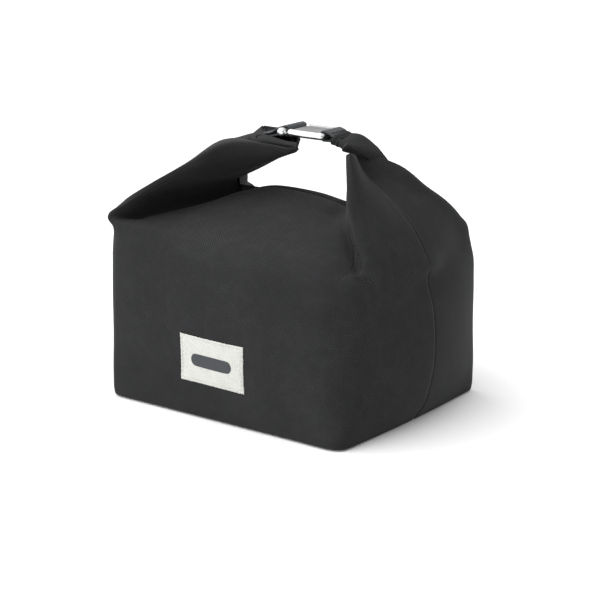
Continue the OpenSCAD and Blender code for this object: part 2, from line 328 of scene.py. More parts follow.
def compact(verts, faces, *more):
    used = sorted({i for f in faces for i in f})
    new = {o: n for n, o in enumerate(used)}
    return [np.asarray(verts)[used], [tuple(new[i] for i in f) for f in faces]] + [np.asarray(m)[used] for m in more]


def merge_close(ob, dist=1e-5):
    bm = bmesh.new()
    bm.from_mesh(ob.data)
    bmesh.ops.remove_doubles(bm, verts=bm.verts, dist=dist)
    bm.to_mesh(ob.data)
    bm.free()


def apply_modifiers(ob):
    bpy.context.view_layer.update()
    dg = bpy.context.evaluated_depsgraph_get()
    me = bpy.data.meshes.new_from_object(ob.evaluated_get(dg), preserve_all_data_layers=True, depsgraph=dg)
    ob.modifiers.clear()
    ob.data = me
    return ob


def thicken(ob, t, offset=-1.0):
    m = ob.modifiers.new("thick", "SOLIDIFY")
    m.thickness = t
    m.offset = offset
    m.use_even_offset = False
    return apply_modifiers(ob)


# ---------------------------------------------------------------- the outer cloth as control rows
Z_LOW = [0.0003, 0.0016, 0.0050, 0.014, 0.034, 0.062, 0.088, 0.106]
INSET = [0.0026, 0.0006, 0.0, 0.0, 0.0, 0.0, 0.0, 0.0]
SX, SY = HL / 0.1025, HW / 0.085    # the rows below are scaled to the frame


def xc(z):
    return HL - 0.026 * z


def sag(z):
    return float(np.interp(z, [0, 0.0065, 0.0144, 0.030, 0.045, 0.071, 0.0926, 0.106],
                           [0.0022, 0.0065, 0.0120, 0.0176, 0.0204, 0.0214, 0.0189, 0.0156]))


def low_row(sx, sy, z, d):
    """Twelve points of one quarter of the outline at height z: middle of the face to the side seam.
    A flat face, a corner arc and a wide side arc, each tangent to the next."""
    half = HW - d
    bow = sag(z)
    xs = xc(z) - d + bow
    wide = (bow * bow + half * half) / (2 * bow)
    if sx * sy < 0:
        rc = float(np.interp(z, [0, 0.005, 0.03, 0.06, 0.09, 0.106], [0.0095, 0.0125, 0.025, 0.034, 0.032, 0.026]))
    else:
        rc = float(np.interp(z, [0, 0.03, 0.106], [0.006, 0.0095, 0.0120]))
    bx = xs - wide
    ax, ay = bx + math.sqrt((wide - rc) ** 2 - (half - rc) ** 2), half - rc
    turn = math.atan2(ax - bx, ay)
    lift = 0.0016 * math.sin(math.pi * min(1, z / 0.12))
    pts = []
    for x in (0.0, 0.035, 0.066):
        pts.append((sx * x, sy * (half + lift * math.cos(min(x / 0.085, 1) * math.pi / 2)), z))
    for k in (0.0, 0.2, 0.4, 0.6, 0.8, 1.0):
        r = turn * k
        pts.append((sx * (ax + rc * math.sin(r)), sy * (ay + rc * math.cos(r)), z))
    y8 = ay + rc * math.cos(turn)
    for k in (0.76, 0.42, 0.0):
        y = y8 * k
        pts.append((sx * (bx + math.sqrt(wide * wide - y * y)), sy * y, z))
    return pts


# Upper rows, in centimetres. Columns: 0-2 face, 3 before the crease, 4 crease, 5 after it,
# 6 inner face of the ear, 7-9 fold edge, 10 outer face, 11 side seam.
RIGHT_FRONT = [
    # shoulder
    [(0, -8.38, 12.0), (3.4, -8.36, 12.0), (6.4, -8.28, 11.95), (8.3, -8.0, 11.82), (9.3, -7.5, 11.74), (9.85, -7.0, 11.7),
     (10.15, -6.6, 11.66), (10.32, -6.2, 11.62), (10.45, -5.8, 11.6), (10.65, -5.2, 11.62), (11.25, -2.9, 11.65), (11.72, 0, 11.6)],
    [(0, -7.78, 13.0), (3.4, -7.74, 12.97), (6.2, -7.6, 12.85), (8.45, -6.9, 12.62), (9.4, -5.95, 12.36), (9.66, -5.5, 12.42),
     (9.78, -5.4, 12.62), (9.86, -5.35, 12.8), (9.98, -5.2, 12.9), (10.2, -4.75, 12.9), (10.9, -2.8, 12.95), (11.1, 0, 12.85)],
    [(0, -6.6, 13.78), (3.4, -6.55, 13.73), (5.9, -6.4, 13.56), (7.95, -5.75, 13.26), (8.75, -5.0, 13.15), (8.86, -4.85, 13.42),
     (8.88, -4.95, 13.74), (8.94, -4.98, 13.97), (9.08, -4.86, 14.06), (9.6, -4.2, 14.05), (10.2, -2.4, 14.05), (10.3, 0, 14.05)],
    [(0, -4.9, 14.5), (3.1, -4.9, 14.42), (5.0, -4.8, 14.28), (6.95, -4.4, 14.1), (7.65, -4.0, 14.12), (7.82, -4.0, 14.6),
     (7.92, -4.2, 14.98), (8.05, -4.22, 15.24), (8.28, -3.98, 15.34), (8.8, -3.5, 15.25), (9.3, -2.0, 15.25), (9.22, 0, 15.2)],
    [(0, -2.6, 15.15), (2.6, -2.6, 15.08), (4.3, -2.6, 14.88), (5.7, -2.5, 14.6), (6.25, -2.55, 14.75), (6.55, -2.85, 15.25),
     (7.1, -3.55, 16.15), (7.32, -3.65, 16.55), (7.65, -3.4, 16.7), (7.95, -2.9, 16.6), (8.1, -1.6, 16.35), (7.85, 0, 16.3)],
    # crest, and ear beside the roll
    [(0, -0.35, 15.5), (2.3, -0.35, 15.4), (3.8, -0.3, 15.18), (4.9, -0.25, 14.95), (5.35, -0.4, 15.1), (5.7, -1.1, 16.2),
     (6.25, -2.3, 17.6), (6.62, -2.8, 18.05), (6.92, -2.7, 18.2), (7.0, -2.2, 18.1), (6.7, -1.1, 17.7), (6.2, 0, 17.55)],
    [(0, 0.9, 15.0), (2.2, 0.9, 14.9), (3.6, 0.9, 14.7), (4.6, 0.9, 14.5), (5.2, 0.6, 15.6), (5.3, -0.7, 17.4),
     (5.75, -1.6, 18.7), (6.15, -2.2, 19.05), (6.45, -2.25, 19.2), (6.4, -1.8, 19.1), (6.0, -0.9, 18.8), (5.45, 0, 18.65)],
]
RIGHT_BACK = [
    [(0, 8.50, 11.7), (3.4, 8.50, 11.7), (6.4, 8.50, 11.7), (8.2, 8.50, 11.7), (9.3, 8.45, 11.7), (9.8, 8.28, 11.75),
     (10.1, 8.0, 11.8), (10.25, 7.6, 11.8), (10.35, 7.1, 11.8), (10.5, 6.3, 11.75), (11.25, 3.2, 11.65), (11.72, 0, 11.6)],
    [(0, 8.15, 12.5), (3.4, 8.15, 12.5), (6.2, 8.15, 12.5), (8.1, 8.15, 12.5), (9.1, 8.0, 12.55), (9.6, 7.95, 12.75),
     (9.95, 7.8, 12.95), (10.12, 7.4, 13.0), (10.2, 6.8, 13.0), (10.3, 5.9, 12.95), (10.95, 2.9, 12.9), (11.1, 0, 12.85)],
    [(0, 6.9, 12.9), (3.4, 6.9, 12.9), (5.9, 6.9, 12.9), (7.6, 6.8, 12.9), (8.4, 6.6, 13.0), (8.9, 6.7, 13.4),
     (9.5, 7.0, 13.8), (9.75, 6.8, 13.95), (9.9, 6.3, 14.0), (10.0, 5.4, 14.0), (10.3, 2.6, 14.05), (10.3, 0, 14.05)],
    [(0, 4.9, 13.4), (3.1, 4.9, 13.4), (5.0, 4.8, 13.4), (6.6, 4.7, 13.4), (7.2, 4.6, 13.6), (7.8, 5.0, 14.2),
     (8.8, 5.7, 14.95), (9.15, 5.65, 15.2), (9.35, 5.1, 15.25), (9.4, 4.3, 15.2), (9.4, 2.2, 15.25), (9.22, 0, 15.2)],
    [(0, 2.8, 14.2), (2.6, 2.8, 14.2), (4.3, 2.8, 14.1), (5.7, 2.7, 14.1), (6.2, 2.7, 14.5), (6.8, 3.4, 15.4),
     (7.9, 4.4, 16.2), (8.3, 4.4, 16.45), (8.5, 3.9, 16.5), (8.45, 3.2, 16.45), (8.15, 1.7, 16.4), (7.85, 0, 16.3)],
    [(0, 0.15, 15.48), (2.3, 0.15, 15.38), (3.8, 0.15, 15.1), (4.9, 0.3, 14.9), (5.4, 0.5, 15.1), (5.8, 1.6, 16.3),
     (6.7, 2.9, 17.55), (7.05, 3.1, 17.9), (7.2, 2.8, 18.0), (7.1, 2.2, 17.9), (6.7, 1.1, 17.65), (6.2, 0, 17.55)],
    [(0, -0.5, 14.6), (2.2, -0.5, 14.6), (3.6, -0.5, 14.4), (4.6, -0.5, 14.2), (5.2, 0.6, 15.6), (5.4, 1.2, 17.2),
     (5.8, 1.8, 17.9), (6.05, 2.0, 18.1), (6.2, 1.9, 18.2), (6.1, 1.5, 18.25), (5.85, 0.8, 18.4), (5.45, 0, 18.65)],
]
LEFT_FRONT = [
    [(0, -8.38, 12.0), (-3.4, -8.40, 12.1), (-6.3, -8.44, 12.3), (-8.6, -8.5, 12.6), (-9.5, -8.48, 12.75), (-9.85, -8.38, 12.9),
     (-10.1, -8.2, 12.95), (-10.22, -7.9, 12.9), (-10.3, -7.4, 12.8), (-10.45, -6.4, 12.5), (-11.1, -3.2, 12.0), (-11.72, 0, 11.6)],
    [(0, -7.78, 13.0), (-3.4, -7.86, 13.05), (-6.2, -8.0, 13.1), (-8.4, -8.25, 13.15), (-9.45, -8.38, 13.3), (-9.8, -8.45, 13.5),
     (-10.05, -8.5, 13.75), (-10.2, -8.3, 13.95), (-10.3, -7.8, 13.9), (-10.4, -6.8, 13.6), (-10.85, -3.3, 13.1), (-11.1, 0, 12.85)],
    [(0, -6.6, 13.78), (-3.3, -6.6, 13.74), (-5.9, -6.7, 13.66), (-8.0, -6.7, 13.45), (-8.85, -6.55, 13.35), (-8.95, -6.85, 13.75),
     (-8.95, -7.6, 14.45), (-8.95, -8.0, 14.85), (-9.2, -7.9, 15.0), (-9.6, -6.8, 14.85), (-10.2, -3.1, 14.6), (-10.4, 0, 14.5)],
    [(0, -4.9, 14.5), (-3.0, -4.9, 14.42), (-5.1, -4.8, 14.2), (-6.9, -4.5, 13.9), (-7.65, -4.1, 13.65), (-7.75, -4.8, 14.7),
     (-7.3, -6.2, 15.75), (-7.0, -7.1, 16.2), (-7.2, -7.2, 16.42), (-7.7, -6.2, 16.4), (-8.6, -2.9, 16.2), (-9.0, 0, 16.1)],
    [(0, -2.6, 15.15), (-2.5, -2.6, 15.05), (-4.2, -2.5, 14.72), (-5.6, -2.1, 14.25), (-6.2, -1.8, 14.0), (-6.1, -3.0, 15.3),
     (-5.1, -5.0, 16.75), (-4.75, -5.7, 17.6), (-4.9, -5.85, 17.88), (-5.5, -5.0, 17.85), (-6.8, -2.2, 17.6), (-7.3, 0, 17.5)],
    [(0, -0.35, 15.5), (-2.2, -0.35, 15.38), (-3.5, -0.3, 15.05), (-4.3, -0.15, 14.75), (-4.65, 0.0, 14.6), (-4.2, -1.3, 15.95),
     (-3.3, -3.0, 17.0), (-2.95, -3.8, 18.5), (-3.1, -3.9, 19.1), (-3.7, -3.3, 19.2), (-4.9, -1.5, 18.9), (-5.3, 0, 18.7)],
    [(0, 0.9, 15.0), (-2.1, 0.9, 14.9), (-3.4, 0.9, 14.5), (-4.1, 0.9, 14.2), (-4.3, 0.8, 14.6), (-0.4, -0.7, 17.95),
     (1.0, -1.7, 18.4), (1.85, -2.0, 18.78), (1.95, -2.0, 18.92), (1.1, -1.65, 18.75), (-0.3, -0.9, 18.4), (-1.3, 0, 18.15)],
]


def back_of(front, drops):
    """A back half that follows the front one, a little lower along its top edge."""
    rows = []
    for k, row in enumerate(front):
        out = []
        for c, (x, y, z) in enumerate(row):
            yy, zz = -y, z
            if c <= 4:
                w = (1, 1, 1, 0.9, 0.5)[c]
                zz = z - drops[k] * w
                if k >= 5:
                    yy = (0.15, -0.5)[k - 5]
            out.append((x, yy, zz))
        rows.append(out)
    return rows


def drop(rows, table):
    """Lowers the fold edge of an ear: table gives centimetres per row, eased over columns 6 to 11."""
    for k, dz in enumerate(table):
        for c, w in ((5, 0.3), (6, 0.7), (7, 1), (8, 1), (9, 1), (10, 0.8), (11, 0.6)):
            x, y, z = rows[k][c]
            rows[k][c] = (x, y, z - dz * w)


drop(LEFT_FRONT, (0.15, 0.25, 0.28, 0.28, 0.2, 0.12, 0.0))
for k, row in enumerate(RIGHT_BACK[:3]):
    for c in range(4, 11):
        x, y, z = row[c]
        row[c] = (x - (0.26, 0.26, 0.14)[k], y, z)
for c in range(4, 10):
    x, y, z = LEFT_FRONT[0][c]
    LEFT_FRONT[0][c] = (x + 0.2, y, z)
drop(RIGHT_BACK, (0.1, 0.2, 0.22, 0.33, 0.5, 0.5, 0.0))
LEFT_BACK = back_of(LEFT_FRONT, (0.3, 0.5, 0.8, 1.1, 0.95, 0.02, 0.4))
LEFT_BACK[4][5], LEFT_BACK[4][6] = (-6.9, 2.7, 15.2), (-6.0, 4.6, 16.6)
LEFT_BACK[5][5], LEFT_BACK[5][6] = (-5.5, 0.9, 15.95), (-4.5, 2.6, 17.0)
# the back fold of the left ear leans in
for row, pull in zip(LEFT_BACK[1:5], ((0.92, 0.86, 0.78, 0.85), (0.9, 0.80, 0.68, 0.78), (0.86, 0.70, 0.60, 0.75), (1.0, 0.9, 0.82, 0.9))):
    for c in range(5, 11):
        x, y, z = row[c]
        row[c] = (x, y * pull[(0, 1, 2, 2, 2, 3)[c - 5]], z)
for row, dz in zip(LEFT_BACK[:3], (0.12, 0.28, 0.2)):
    for c in (3, 4, 5):
        x, y, z = row[c]
        row[c] = (x, y * 0.97, z - dz)
for c, dx in ((5, -1.2), (6, -2.2), (7, -2.6), (8, -2.6), (9, -1.9), (10, -0.8)):
    x, y, z = LEFT_BACK[-1][c]
    LEFT_BACK[-1][c] = (x + dx, y * 0.85, z - 0.1)


def quarter(sx, sy, upper):
    rows = [low_row(sx, sy, z, d) for z, d in zip(Z_LOW, INSET)]
    rows += [[(x * CM * SX, y * CM * SY, z * CM) for x, y, z in r] for r in upper]
    return np.array(rows)


SUB_R, SUB_C = 8, 8
N_LOW = len(Z_LOW)
N_ROW = N_LOW + len(RIGHT_FRONT)
CREASE = 4


def piece_grid(sy, left, right):
    """Control grid from the left side seam across the face to the right side seam, resampled."""
    lq, rq = quarter(-1, sy, left), quarter(1, sy, right)
    ctrl = np.concatenate([lq[:, ::-1][:, :-1], rq], axis=1)
    # continue past each side seam with the mirrored column, so that the two halves meet smoothly
    pre = ctrl[:, 1:2].copy(); pre[..., 1] *= -1
    post = ctrl[:, -2:-1].copy(); post[..., 1] *= -1
    full = np.concatenate([pre, ctrl, post], axis=1)
    across = catmull(np.swapaxes(full, 0, 1), SUB_C)[SUB_C:-SUB_C]
    across = np.swapaxes(across, 0, 1)
    return catmull(across, SUB_R)


WAVES = [(23, 11, 31, 0.4, 0.00050), (41, 29, 17, 1.9, 0.00034), (13, 57, 47, 2.7, 0.00030), (71, 37, 83, 0.9, 0.00014),
         (97, 61, 29, 4.1, 0.00010)]


def wrinkle(g, amp_scale=1.0):
    """Slow sag and faint folds that depend on place only, so that shared edges stay shared."""
    p = g.reshape(-1, 3)
    x, y, z = p[:, 0], p[:, 1], p[:, 2]
    d = np.zeros(len(p))
    up = np.clip((z - 0.006) / 0.03, 0, 1) * np.clip((0.20 - z) / 0.03, 0, 1)
    for a, b, c, ph, amp in WAVES:
        d += amp * np.sin(a * x + b * y + c * z + ph + 1.3 * np.sin(17 * x - 23 * z + ph))
    return (d * up * amp_scale).reshape(g.shape[:2])


def normals(g):
    du = np.gradient(g, axis=0)
    dv = np.gradient(g, axis=1)
    n = np.cross(dv, du)
    n /= np.maximum(np.linalg.norm(n, axis=2, keepdims=True), 1e-12)
    return n


def cloth_map(g):
    """Distance across and up the cloth, for the weave."""
    u = np.concatenate([np.zeros((g.shape[0], 1)), np.cumsum(np.linalg.norm(np.diff(g, axis=1), axis=2), axis=1)], axis=1)
    mid = u.shape[1] // 2
    u = u - u[:, mid:mid + 1]
    v = np.concatenate([np.zeros((1, g.shape[1])), np.cumsum(np.linalg.norm(np.diff(g, axis=0), axis=2), axis=0)], axis=0)
    return np.stack([u, v], axis=2)


def convexity(g, n):
    """How far each point stands out from its neighbours, for wear along the folds."""
    p = np.pad(g, ((2, 2), (2, 2), (0, 0)), mode="edge")
    lap = (p[4:, 2:-2] + p[:-4, 2:-2] + p[2:-2, 4:] + p[2:-2, :-4]) / 4 - g
    return np.clip(-(lap * n).sum(2) / 0.0016, 0, 1)


EAR_ROW = N_LOW * SUB_R            # the row where the ears start
CREST_ROW = (N_LOW + 5) * SUB_R    # the row where the slope reaches the crest
LO_COL = (11 - CREASE) * SUB_C
HI_COL = 22 * SUB_C - LO_COL

G = {"front": piece_grid(-1, LEFT_FRONT, RIGHT_FRONT), "back": piece_grid(1, LEFT_BACK, RIGHT_BACK)}
N = {}


def press(key, line, depth, width):
    """Presses a soft groove (or, with a negative depth, a ridge) along a line of points into the cloth."""
    g = G[key]
    n = normals(g) * (1 if key == "front" else -1)
    q = np.asarray(line, float) * CM
    best = np.full(g.shape[:2], 1e9)
    along = np.zeros(g.shape[:2])
    for i in range(len(q) - 1):
        a, b = q[i], q[i + 1]
        t = np.clip(((g - a) @ (b - a)) / np.dot(b - a, b - a), 0, 1)
        d = np.linalg.norm(g - (a + t[..., None] * (b - a)), axis=2)
        near = d < best
        along[near] = (i + t[near]) / (len(q) - 1)
        best = np.minimum(best, d)
    dep = np.interp(along, np.linspace(0, 1, len(depth)), depth)
    G[key] = g - n * (dep * np.exp(-(best / width) ** 2))[..., None]


for key in ("front", "back"):
    n = normals(G[key]) * (1 if key == "front" else -1)
    G[key] = G[key] + n * wrinkle(G[key])[..., None]
# the pinch where the right ear leaves the corner, and the fold line above it
press("front", [(10.85, -6.0, 11.2), (10.3, -6.3, 11.8), (9.75, -5.9, 12.4), (8.95, -5.1, 13.2), (7.85, -4.15, 14.15)],
      [0.0006, 0.0026, 0.0026, 0.0018, 0.0008], 0.0038)
press("front", [(11.05, -5.3, 11.1), (10.6, -5.1, 11.9), (10.25, -4.85, 12.7)], [-0.0006, -0.0014, -0.0006], 0.0042)
# the same pinch, fainter, at the left front corner
press("front", [(-10.2, -8.2, 12.6), (-9.6, -7.9, 13.1), (-8.8, -6.6, 13.3)], [0.0010, 0.0014, 0.0008], 0.0040)
for col in (0, -1):
    m = (G["front"][:, col] + G["back"][:, col]) / 2
    G["front"][:, col] = m
    G["back"][:, col] = m
EDGE = (0.5, 0.78, 0.92)           # extra columns beside each side seam, for its groove
for key in ("front", "back"):
    g = G[key]
    n = normals(g) * (1 if key == "front" else -1)
    # the seam's own normal is level across the two pieces
    for col in (0, -1):
        n[:, col, 1] = 0
        n[:, col] /= np.linalg.norm(n[:, col], axis=1, keepdims=True)
    cols, ncol = [], []
    depth = {0.5: 0.0, 0.78: 0.00022, 0.92: 0.0006, 1.0: 0.0010}
    def lerp(a, b, t):
        return a + (b - a) * t
    # left seam
    for t in (1.0, 0.92, 0.78, 0.5):
        nn = lerp(n[:, 1], n[:, 0], t)
        cols.append(lerp(g[:, 1], g[:, 0], t) - nn * depth[t]); ncol.append(nn)
    for c in range(1, g.shape[1] - 1):
        cols.append(g[:, c]); ncol.append(n[:, c])
    for t in (0.5, 0.78, 0.92, 1.0):
        nn = lerp(n[:, -2], n[:, -1], t)
        cols.append(lerp(g[:, -2], g[:, -1], t) - nn * depth[t]); ncol.append(nn)
    G[key] = np.stack(cols, axis=1)
    nn = np.stack(ncol, axis=1)
    N[key] = nn / np.linalg.norm(nn, axis=2, keepdims=True)
EX = len(EDGE)
LO_COL += EX
HI_COL += EX
NR, NC = G["front"].shape[:2]


def arm_weight(side):
    """How far each point of the grids follows the arm: none at the shoulder and the crease, all at the free end."""
    def ease(t):
        t = np.clip(t, 0, 1)
        return t * t * (3 - 2 * t)
    rows = np.arange(NR)[:, None]
    cols = np.arange(NC)[None, :]
    wr = ease((rows - EAR_ROW) / (4.3 * SUB_R))
    dist = (LO_COL - cols) if side == "left" else (cols - HI_COL)
    wc = ease(dist / (2.2 * SUB_C))
    past = np.clip((rows - CREST_ROW) / (0.8 * SUB_R), 0, 1)
    wc = wc + (1 - wc) * past
    return wr * wc


def soft_ob(name, key_parts, mat, thick, arm=None):
    """Joins face ranges of the two grids into one piece; its rim at the ear line keeps the whole cloth's normals."""
    vs, fs, ws, ns, wr, aw, base = [], [], [], [], [], [], 0
    weight = arm_weight(arm) if arm else np.zeros((NR, NC))
    for key, keep in key_parts:
        g = G[key]
        faces = grid_faces(NR, NC, keep, flip=(key == "back"))
        nn = N[key]
        flag = np.zeros((NR, NC)); flag[EAR_ROW - 3:EAR_ROW + 4] = 1; flag[:, [LO_COL, HI_COL]] = 0
        lay = cloth_map(g)
        if arm:
            # the folded ear is laid out flat by place, which keeps its twill lines straight
            lay = np.stack([g[..., 1] * 0.9 + g[..., 0] * 0.3, g[..., 2] * 1.1 - np.abs(g[..., 0]) * 0.35], axis=2)
        v, f, w, n_, fl, cv, ar = compact(g.reshape(-1, 3), faces, lay.reshape(-1, 2), nn.reshape(-1, 3),
                                          flag.reshape(-1), convexity(g, nn).reshape(-1), weight.reshape(-1))
        aw.append(ar)
        vs.append(v); ws.append(w); ns.append(n_ * fl[:, None]); wr.append(cv)
        fs += [tuple(i + base for i in q) for q in f]
        base += len(v)
    v = np.concatenate(vs); w = np.concatenate(ws); n_ = np.concatenate(ns); cv = np.concatenate(wr); ar = np.concatenate(aw)
    if len(key_parts) > 1:
        # merge the shared side seam
        keymap, new, order = {}, [], []
        for i, p in enumerate(np.round(v, 6)):
            k = tuple(p)
            if k not in keymap:
                keymap[k] = len(order)
                order.append(i)
            new.append(keymap[k])
        fs = [tuple(dict.fromkeys(new[i] for i in q)) for q in fs]
        fs = [q for q in fs if len(q) > 2]
        v, w, n_, cv, ar = v[order], w[order], n_[order], cv[order], ar[order]
    ob = mesh_from(name, v, fs, mat, w)
    at = ob.data.attributes.new("wear", "FLOAT", "POINT")
    at.data.foreach_set("value", cv.astype(np.float32))
    if arm:
        at = ob.data.attributes.new("arm", "FLOAT", "POINT")
        at.data.foreach_set("value", ar.astype(np.float32))
    if thick:
        thicken(ob, thick)
        full = np.zeros((len(ob.data.vertices), 3))
        full[:len(n_)] = n_
        ob.data.normals_split_custom_set_from_vertices([tuple(x) for x in full])
    return ob


def body_keep():
    keep = np.zeros((NR - 1, NC - 1), bool)
    keep[:EAR_ROW] = True
    keep[EAR_ROW:, LO_COL:HI_COL] = True
    return keep


def ear_keep(side):
    keep = np.zeros((NR - 1, NC - 1), bool)
    if side == "left":
        keep[EAR_ROW:, :LO_COL] = True
        keep[CREST_ROW:, LO_COL - SUB_C:] = False
    else:
        keep[EAR_ROW:, HI_COL:] = True
        keep[CREST_ROW:, :HI_COL + SUB_C] = False
    return keep


for key in ("front", "back"):
    ob = soft_ob("outer_" + key + "_cloth", [(key, body_keep())], TWILL, 0.0012)
    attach(ob, "bag")
    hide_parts("outer_" + key)

def bend(ob):
    """Bakes a piece's placement into its mesh and reads its stored arm weights; it moves no point."""
    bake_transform(ob)
    n = len(ob.data.vertices)
    w = np.zeros(n, np.float32)
    ob.data.attributes["arm"].data.foreach_get("value", w)


for side, s in (("left", -1), ("right", 1)):
    ob = soft_ob(side + "_ear_cloth", [("front", ear_keep(side)), ("back", ear_keep(side))], TWILL, 0.0011, arm=side)
    bend(ob)
    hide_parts(side + "_gusset_ear")


# ---------------------------------------------------------------- base
def base_cloth():
    ring = np.concatenate([G["front"][0], G["back"][0][::-1][1:-1]])
    ring = ring[:, :2]
    rings = []
    for k in (1.0, 0.985, 0.9, 0.7, 0.45, 0.2, 0.04):
        r = ring * k
        z = 0.0004 + 0.0006 * (k > 0.99) * 0 + (0.0002 * np.sin(r[:, 0] * 60) * np.sin(r[:, 1] * 70) + 0.0002) * (k < 0.95)
        rings.append(np.column_stack([r, z]))
    g = np.array(rings)
    nr, nc = g.shape[:2]
    faces = grid_faces(nr, nc, closed=True)
    faces.append(tuple((nr - 1) * nc + i for i in range(nc))[::-1])
    w = g[..., :2].reshape(-1, 2)
    ob = mesh_from("outer_base_cloth", g.reshape(-1, 3), [f[::-1] for f in faces], TWILL, w)
    bm = bmesh.new(); bm.from_mesh(ob.data)
    bmesh.ops.recalc_face_normals(bm, faces=bm.faces)
    if sum(f.normal.z * f.calc_area() for f in bm.faces) > 0:
        bmesh.ops.reverse_faces(bm, faces=bm.faces)
    bm.to_mesh(ob.data); bm.free()
    thicken(ob, 0.0008)
    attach(ob, "bag")
    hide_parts("outer_base")


base_cloth()


# ---------------------------------------------------------------- foam and lining, inside the cloth
def inner_sheet(name, key, rows, cols, inset, thick, mat, node, body="bag"):
    g = G[key] - N[key] * inset
    keep = np.zeros((NR - 1, NC - 1), bool)
    keep[rows[0]:rows[1], cols[0]:cols[1]] = True
    faces = grid_faces(NR, NC, keep, flip=(key == "back"))
    v, f, w = compact(g.reshape(-1, 3), faces, cloth_map(g).reshape(-1, 2))
    ob = mesh_from(name, v, f, mat, w)
    thicken(ob, thick)
    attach(ob, body)
    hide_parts(node)
    return ob


C3 = (11 - 3) * SUB_C + EX
C9 = (11 - 9) * SUB_C + EX
TOP = (N_LOW - 1) * SUB_R
inner_sheet("foam_front_sheet", "front", (SUB_R * 2, TOP), (C3, NC - 1 - C3), 0.0022, 0.0035, FOAM, "foam_front")
inner_sheet("foam_back_sheet", "back", (SUB_R * 2, TOP), (C3, NC - 1 - C3), 0.0022, 0.0035, FOAM, "foam_back")
for side, rng in (("left", (EX + 1, C9)), ("right", (NC - 1 - C9, NC - 2 - EX))):
    parts = []
    vs, fs, base = [], [], 0
    for key in ("front", "back"):
        lo, hi = (0, rng[1]) if side == "left" else (rng[0], NC - 1)
        g = G[key] - N[key] * 0.0034
        keep = np.zeros((NR - 1, NC - 1), bool)
        keep[SUB_R * 2:TOP, lo:hi] = True
        faces = grid_faces(NR, NC, keep, flip=(key == "back"))
        v, f = compact(g.reshape(-1, 3), faces)
        vs.append(v); fs += [tuple(i + base for i in q) for q in f]; base += len(v)
    ob = mesh_from("foam_" + side + "_sheet", np.concatenate(vs), fs, FOAM)
    merge_close(ob, 3e-4)
    thicken(ob, 0.0035)
    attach(ob, "bag"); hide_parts("foam_" + side)
for key in ("front", "back"):
    g = G[key].copy()
    g[..., 0] *= 1 - 0.0095 / HL
    g[..., 1] *= 1 - 0.0085 / HW
    g[..., 2] -= 0.0085 * np.clip((g[..., 2] - 0.095) / 0.03, 0, 1)
    keep = np.zeros((NR - 1, NC - 1), bool)
    keep[SUB_R * 2 + 4:TOP + 4, :] = True
    keep[TOP:CREST_ROW - 6, C3 + 4:NC - 1 - C3 - 4] = True
    faces = grid_faces(NR, NC, keep, flip=(key == "back"))
    v, f = compact(g.reshape(-1, 3), faces)
    ob = mesh_from("liner_" + key + "_film", v, f, LINER)
    thicken(ob, 0.0005)
    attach(ob, "bag"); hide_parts("liner_" + key)
for nm, mat in (("foam_base", FOAM), ("liner_base", LINER)):
    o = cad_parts[nm]
    o.data.materials.clear()
    o.data.materials.append(mat)

# ---------------------------------------------------------------- small builders
def put_weave(ob, uv):
    me = ob.data
    at = me.attributes.get("weave") or me.attributes.new("weave", "FLOAT_VECTOR", "POINT")
    w = np.zeros((len(me.vertices), 3), np.float32)
    w[:, :2] = uv
    at.data.foreach_set("vector", w.ravel())


def frames_along(path, up=(0, 0, 1)):
    p = np.asarray(path, float)
    t = np.gradient(p, axis=0)
    t /= np.linalg.norm(t, axis=1, keepdims=True)
    u = np.tile(np.asarray(up, float), (len(p), 1))
    u -= t * (t * u).sum(1, keepdims=True)
    u /= np.linalg.norm(u, axis=1, keepdims=True)
    return t, u, np.cross(t, u)


def ring_skin(rings, cap=True):
    """Skin over closed rings, each an (m, 3) array; flat fans close the ends."""
    r = np.asarray(rings)
    k, m = r.shape[:2]
    faces = grid_faces(k, m, closed=True)
    verts = list(r.reshape(-1, 3))
    if cap:
        for end, idx in ((0, 0), (k - 1, (k - 1) * m)):
            c = len(verts)
            verts.append(r[end].mean(0))
            for i in range(m):
                a, b = idx + i, idx + (i + 1) % m
                faces.append((c, b, a) if end == 0 else (c, a, b))
    return np.array(verts), faces


def rod_rings(path, radius, m=14, round_ends=True, flat=1.0):
    p = np.asarray(path, float)
    t, u, v = frames_along(p, (0, 0, 1) if abs(np.ptp(p[:, 2])) < 0.6 * np.linalg.norm(p[-1] - p[0]) else (0, 1, 0))
    ang = np.linspace(0, 2 * math.pi, m, endpoint=False)
    rad = np.full(len(p), radius, float)
    rings = []
    if round_ends:
        for a in (80, 60, 40, 20):
            s_, c_ = math.sin(math.radians(a)), math.cos(math.radians(a))
            o = p[0] - t[0] * radius * s_
            rings.append(o + radius * c_ * (np.outer(np.cos(ang), u[0]) + np.outer(np.sin(ang), v[0]) * flat))
    for i in range(len(p)):
        rings.append(p[i] + rad[i] * (np.outer(np.cos(ang), u[i]) + np.outer(np.sin(ang), v[i]) * flat))
    if round_ends:
        for a in (20, 40, 60, 80):
            s_, c_ = math.sin(math.radians(a)), math.cos(math.radians(a))
            o = p[-1] + t[-1] * radius * s_
            rings.append(o + radius * c_ * (np.outer(np.cos(ang), u[-1]) + np.outer(np.sin(ang), v[-1]) * flat))
    return rings


def join_skins(name, skins, mat):
    vs, fs, base = [], [], 0
    for v, f in skins:
        vs.append(v)
        fs += [tuple(i + base for i in q) for q in f]
        base += len(v)
    ob = mesh_from(name, np.concatenate(vs), fs, mat)
    bm = bmesh.new()
    bm.from_mesh(ob.data)
    bmesh.ops.recalc_face_normals(bm, faces=bm.faces)
    bm.to_mesh(ob.data)
    bm.free()
    return ob


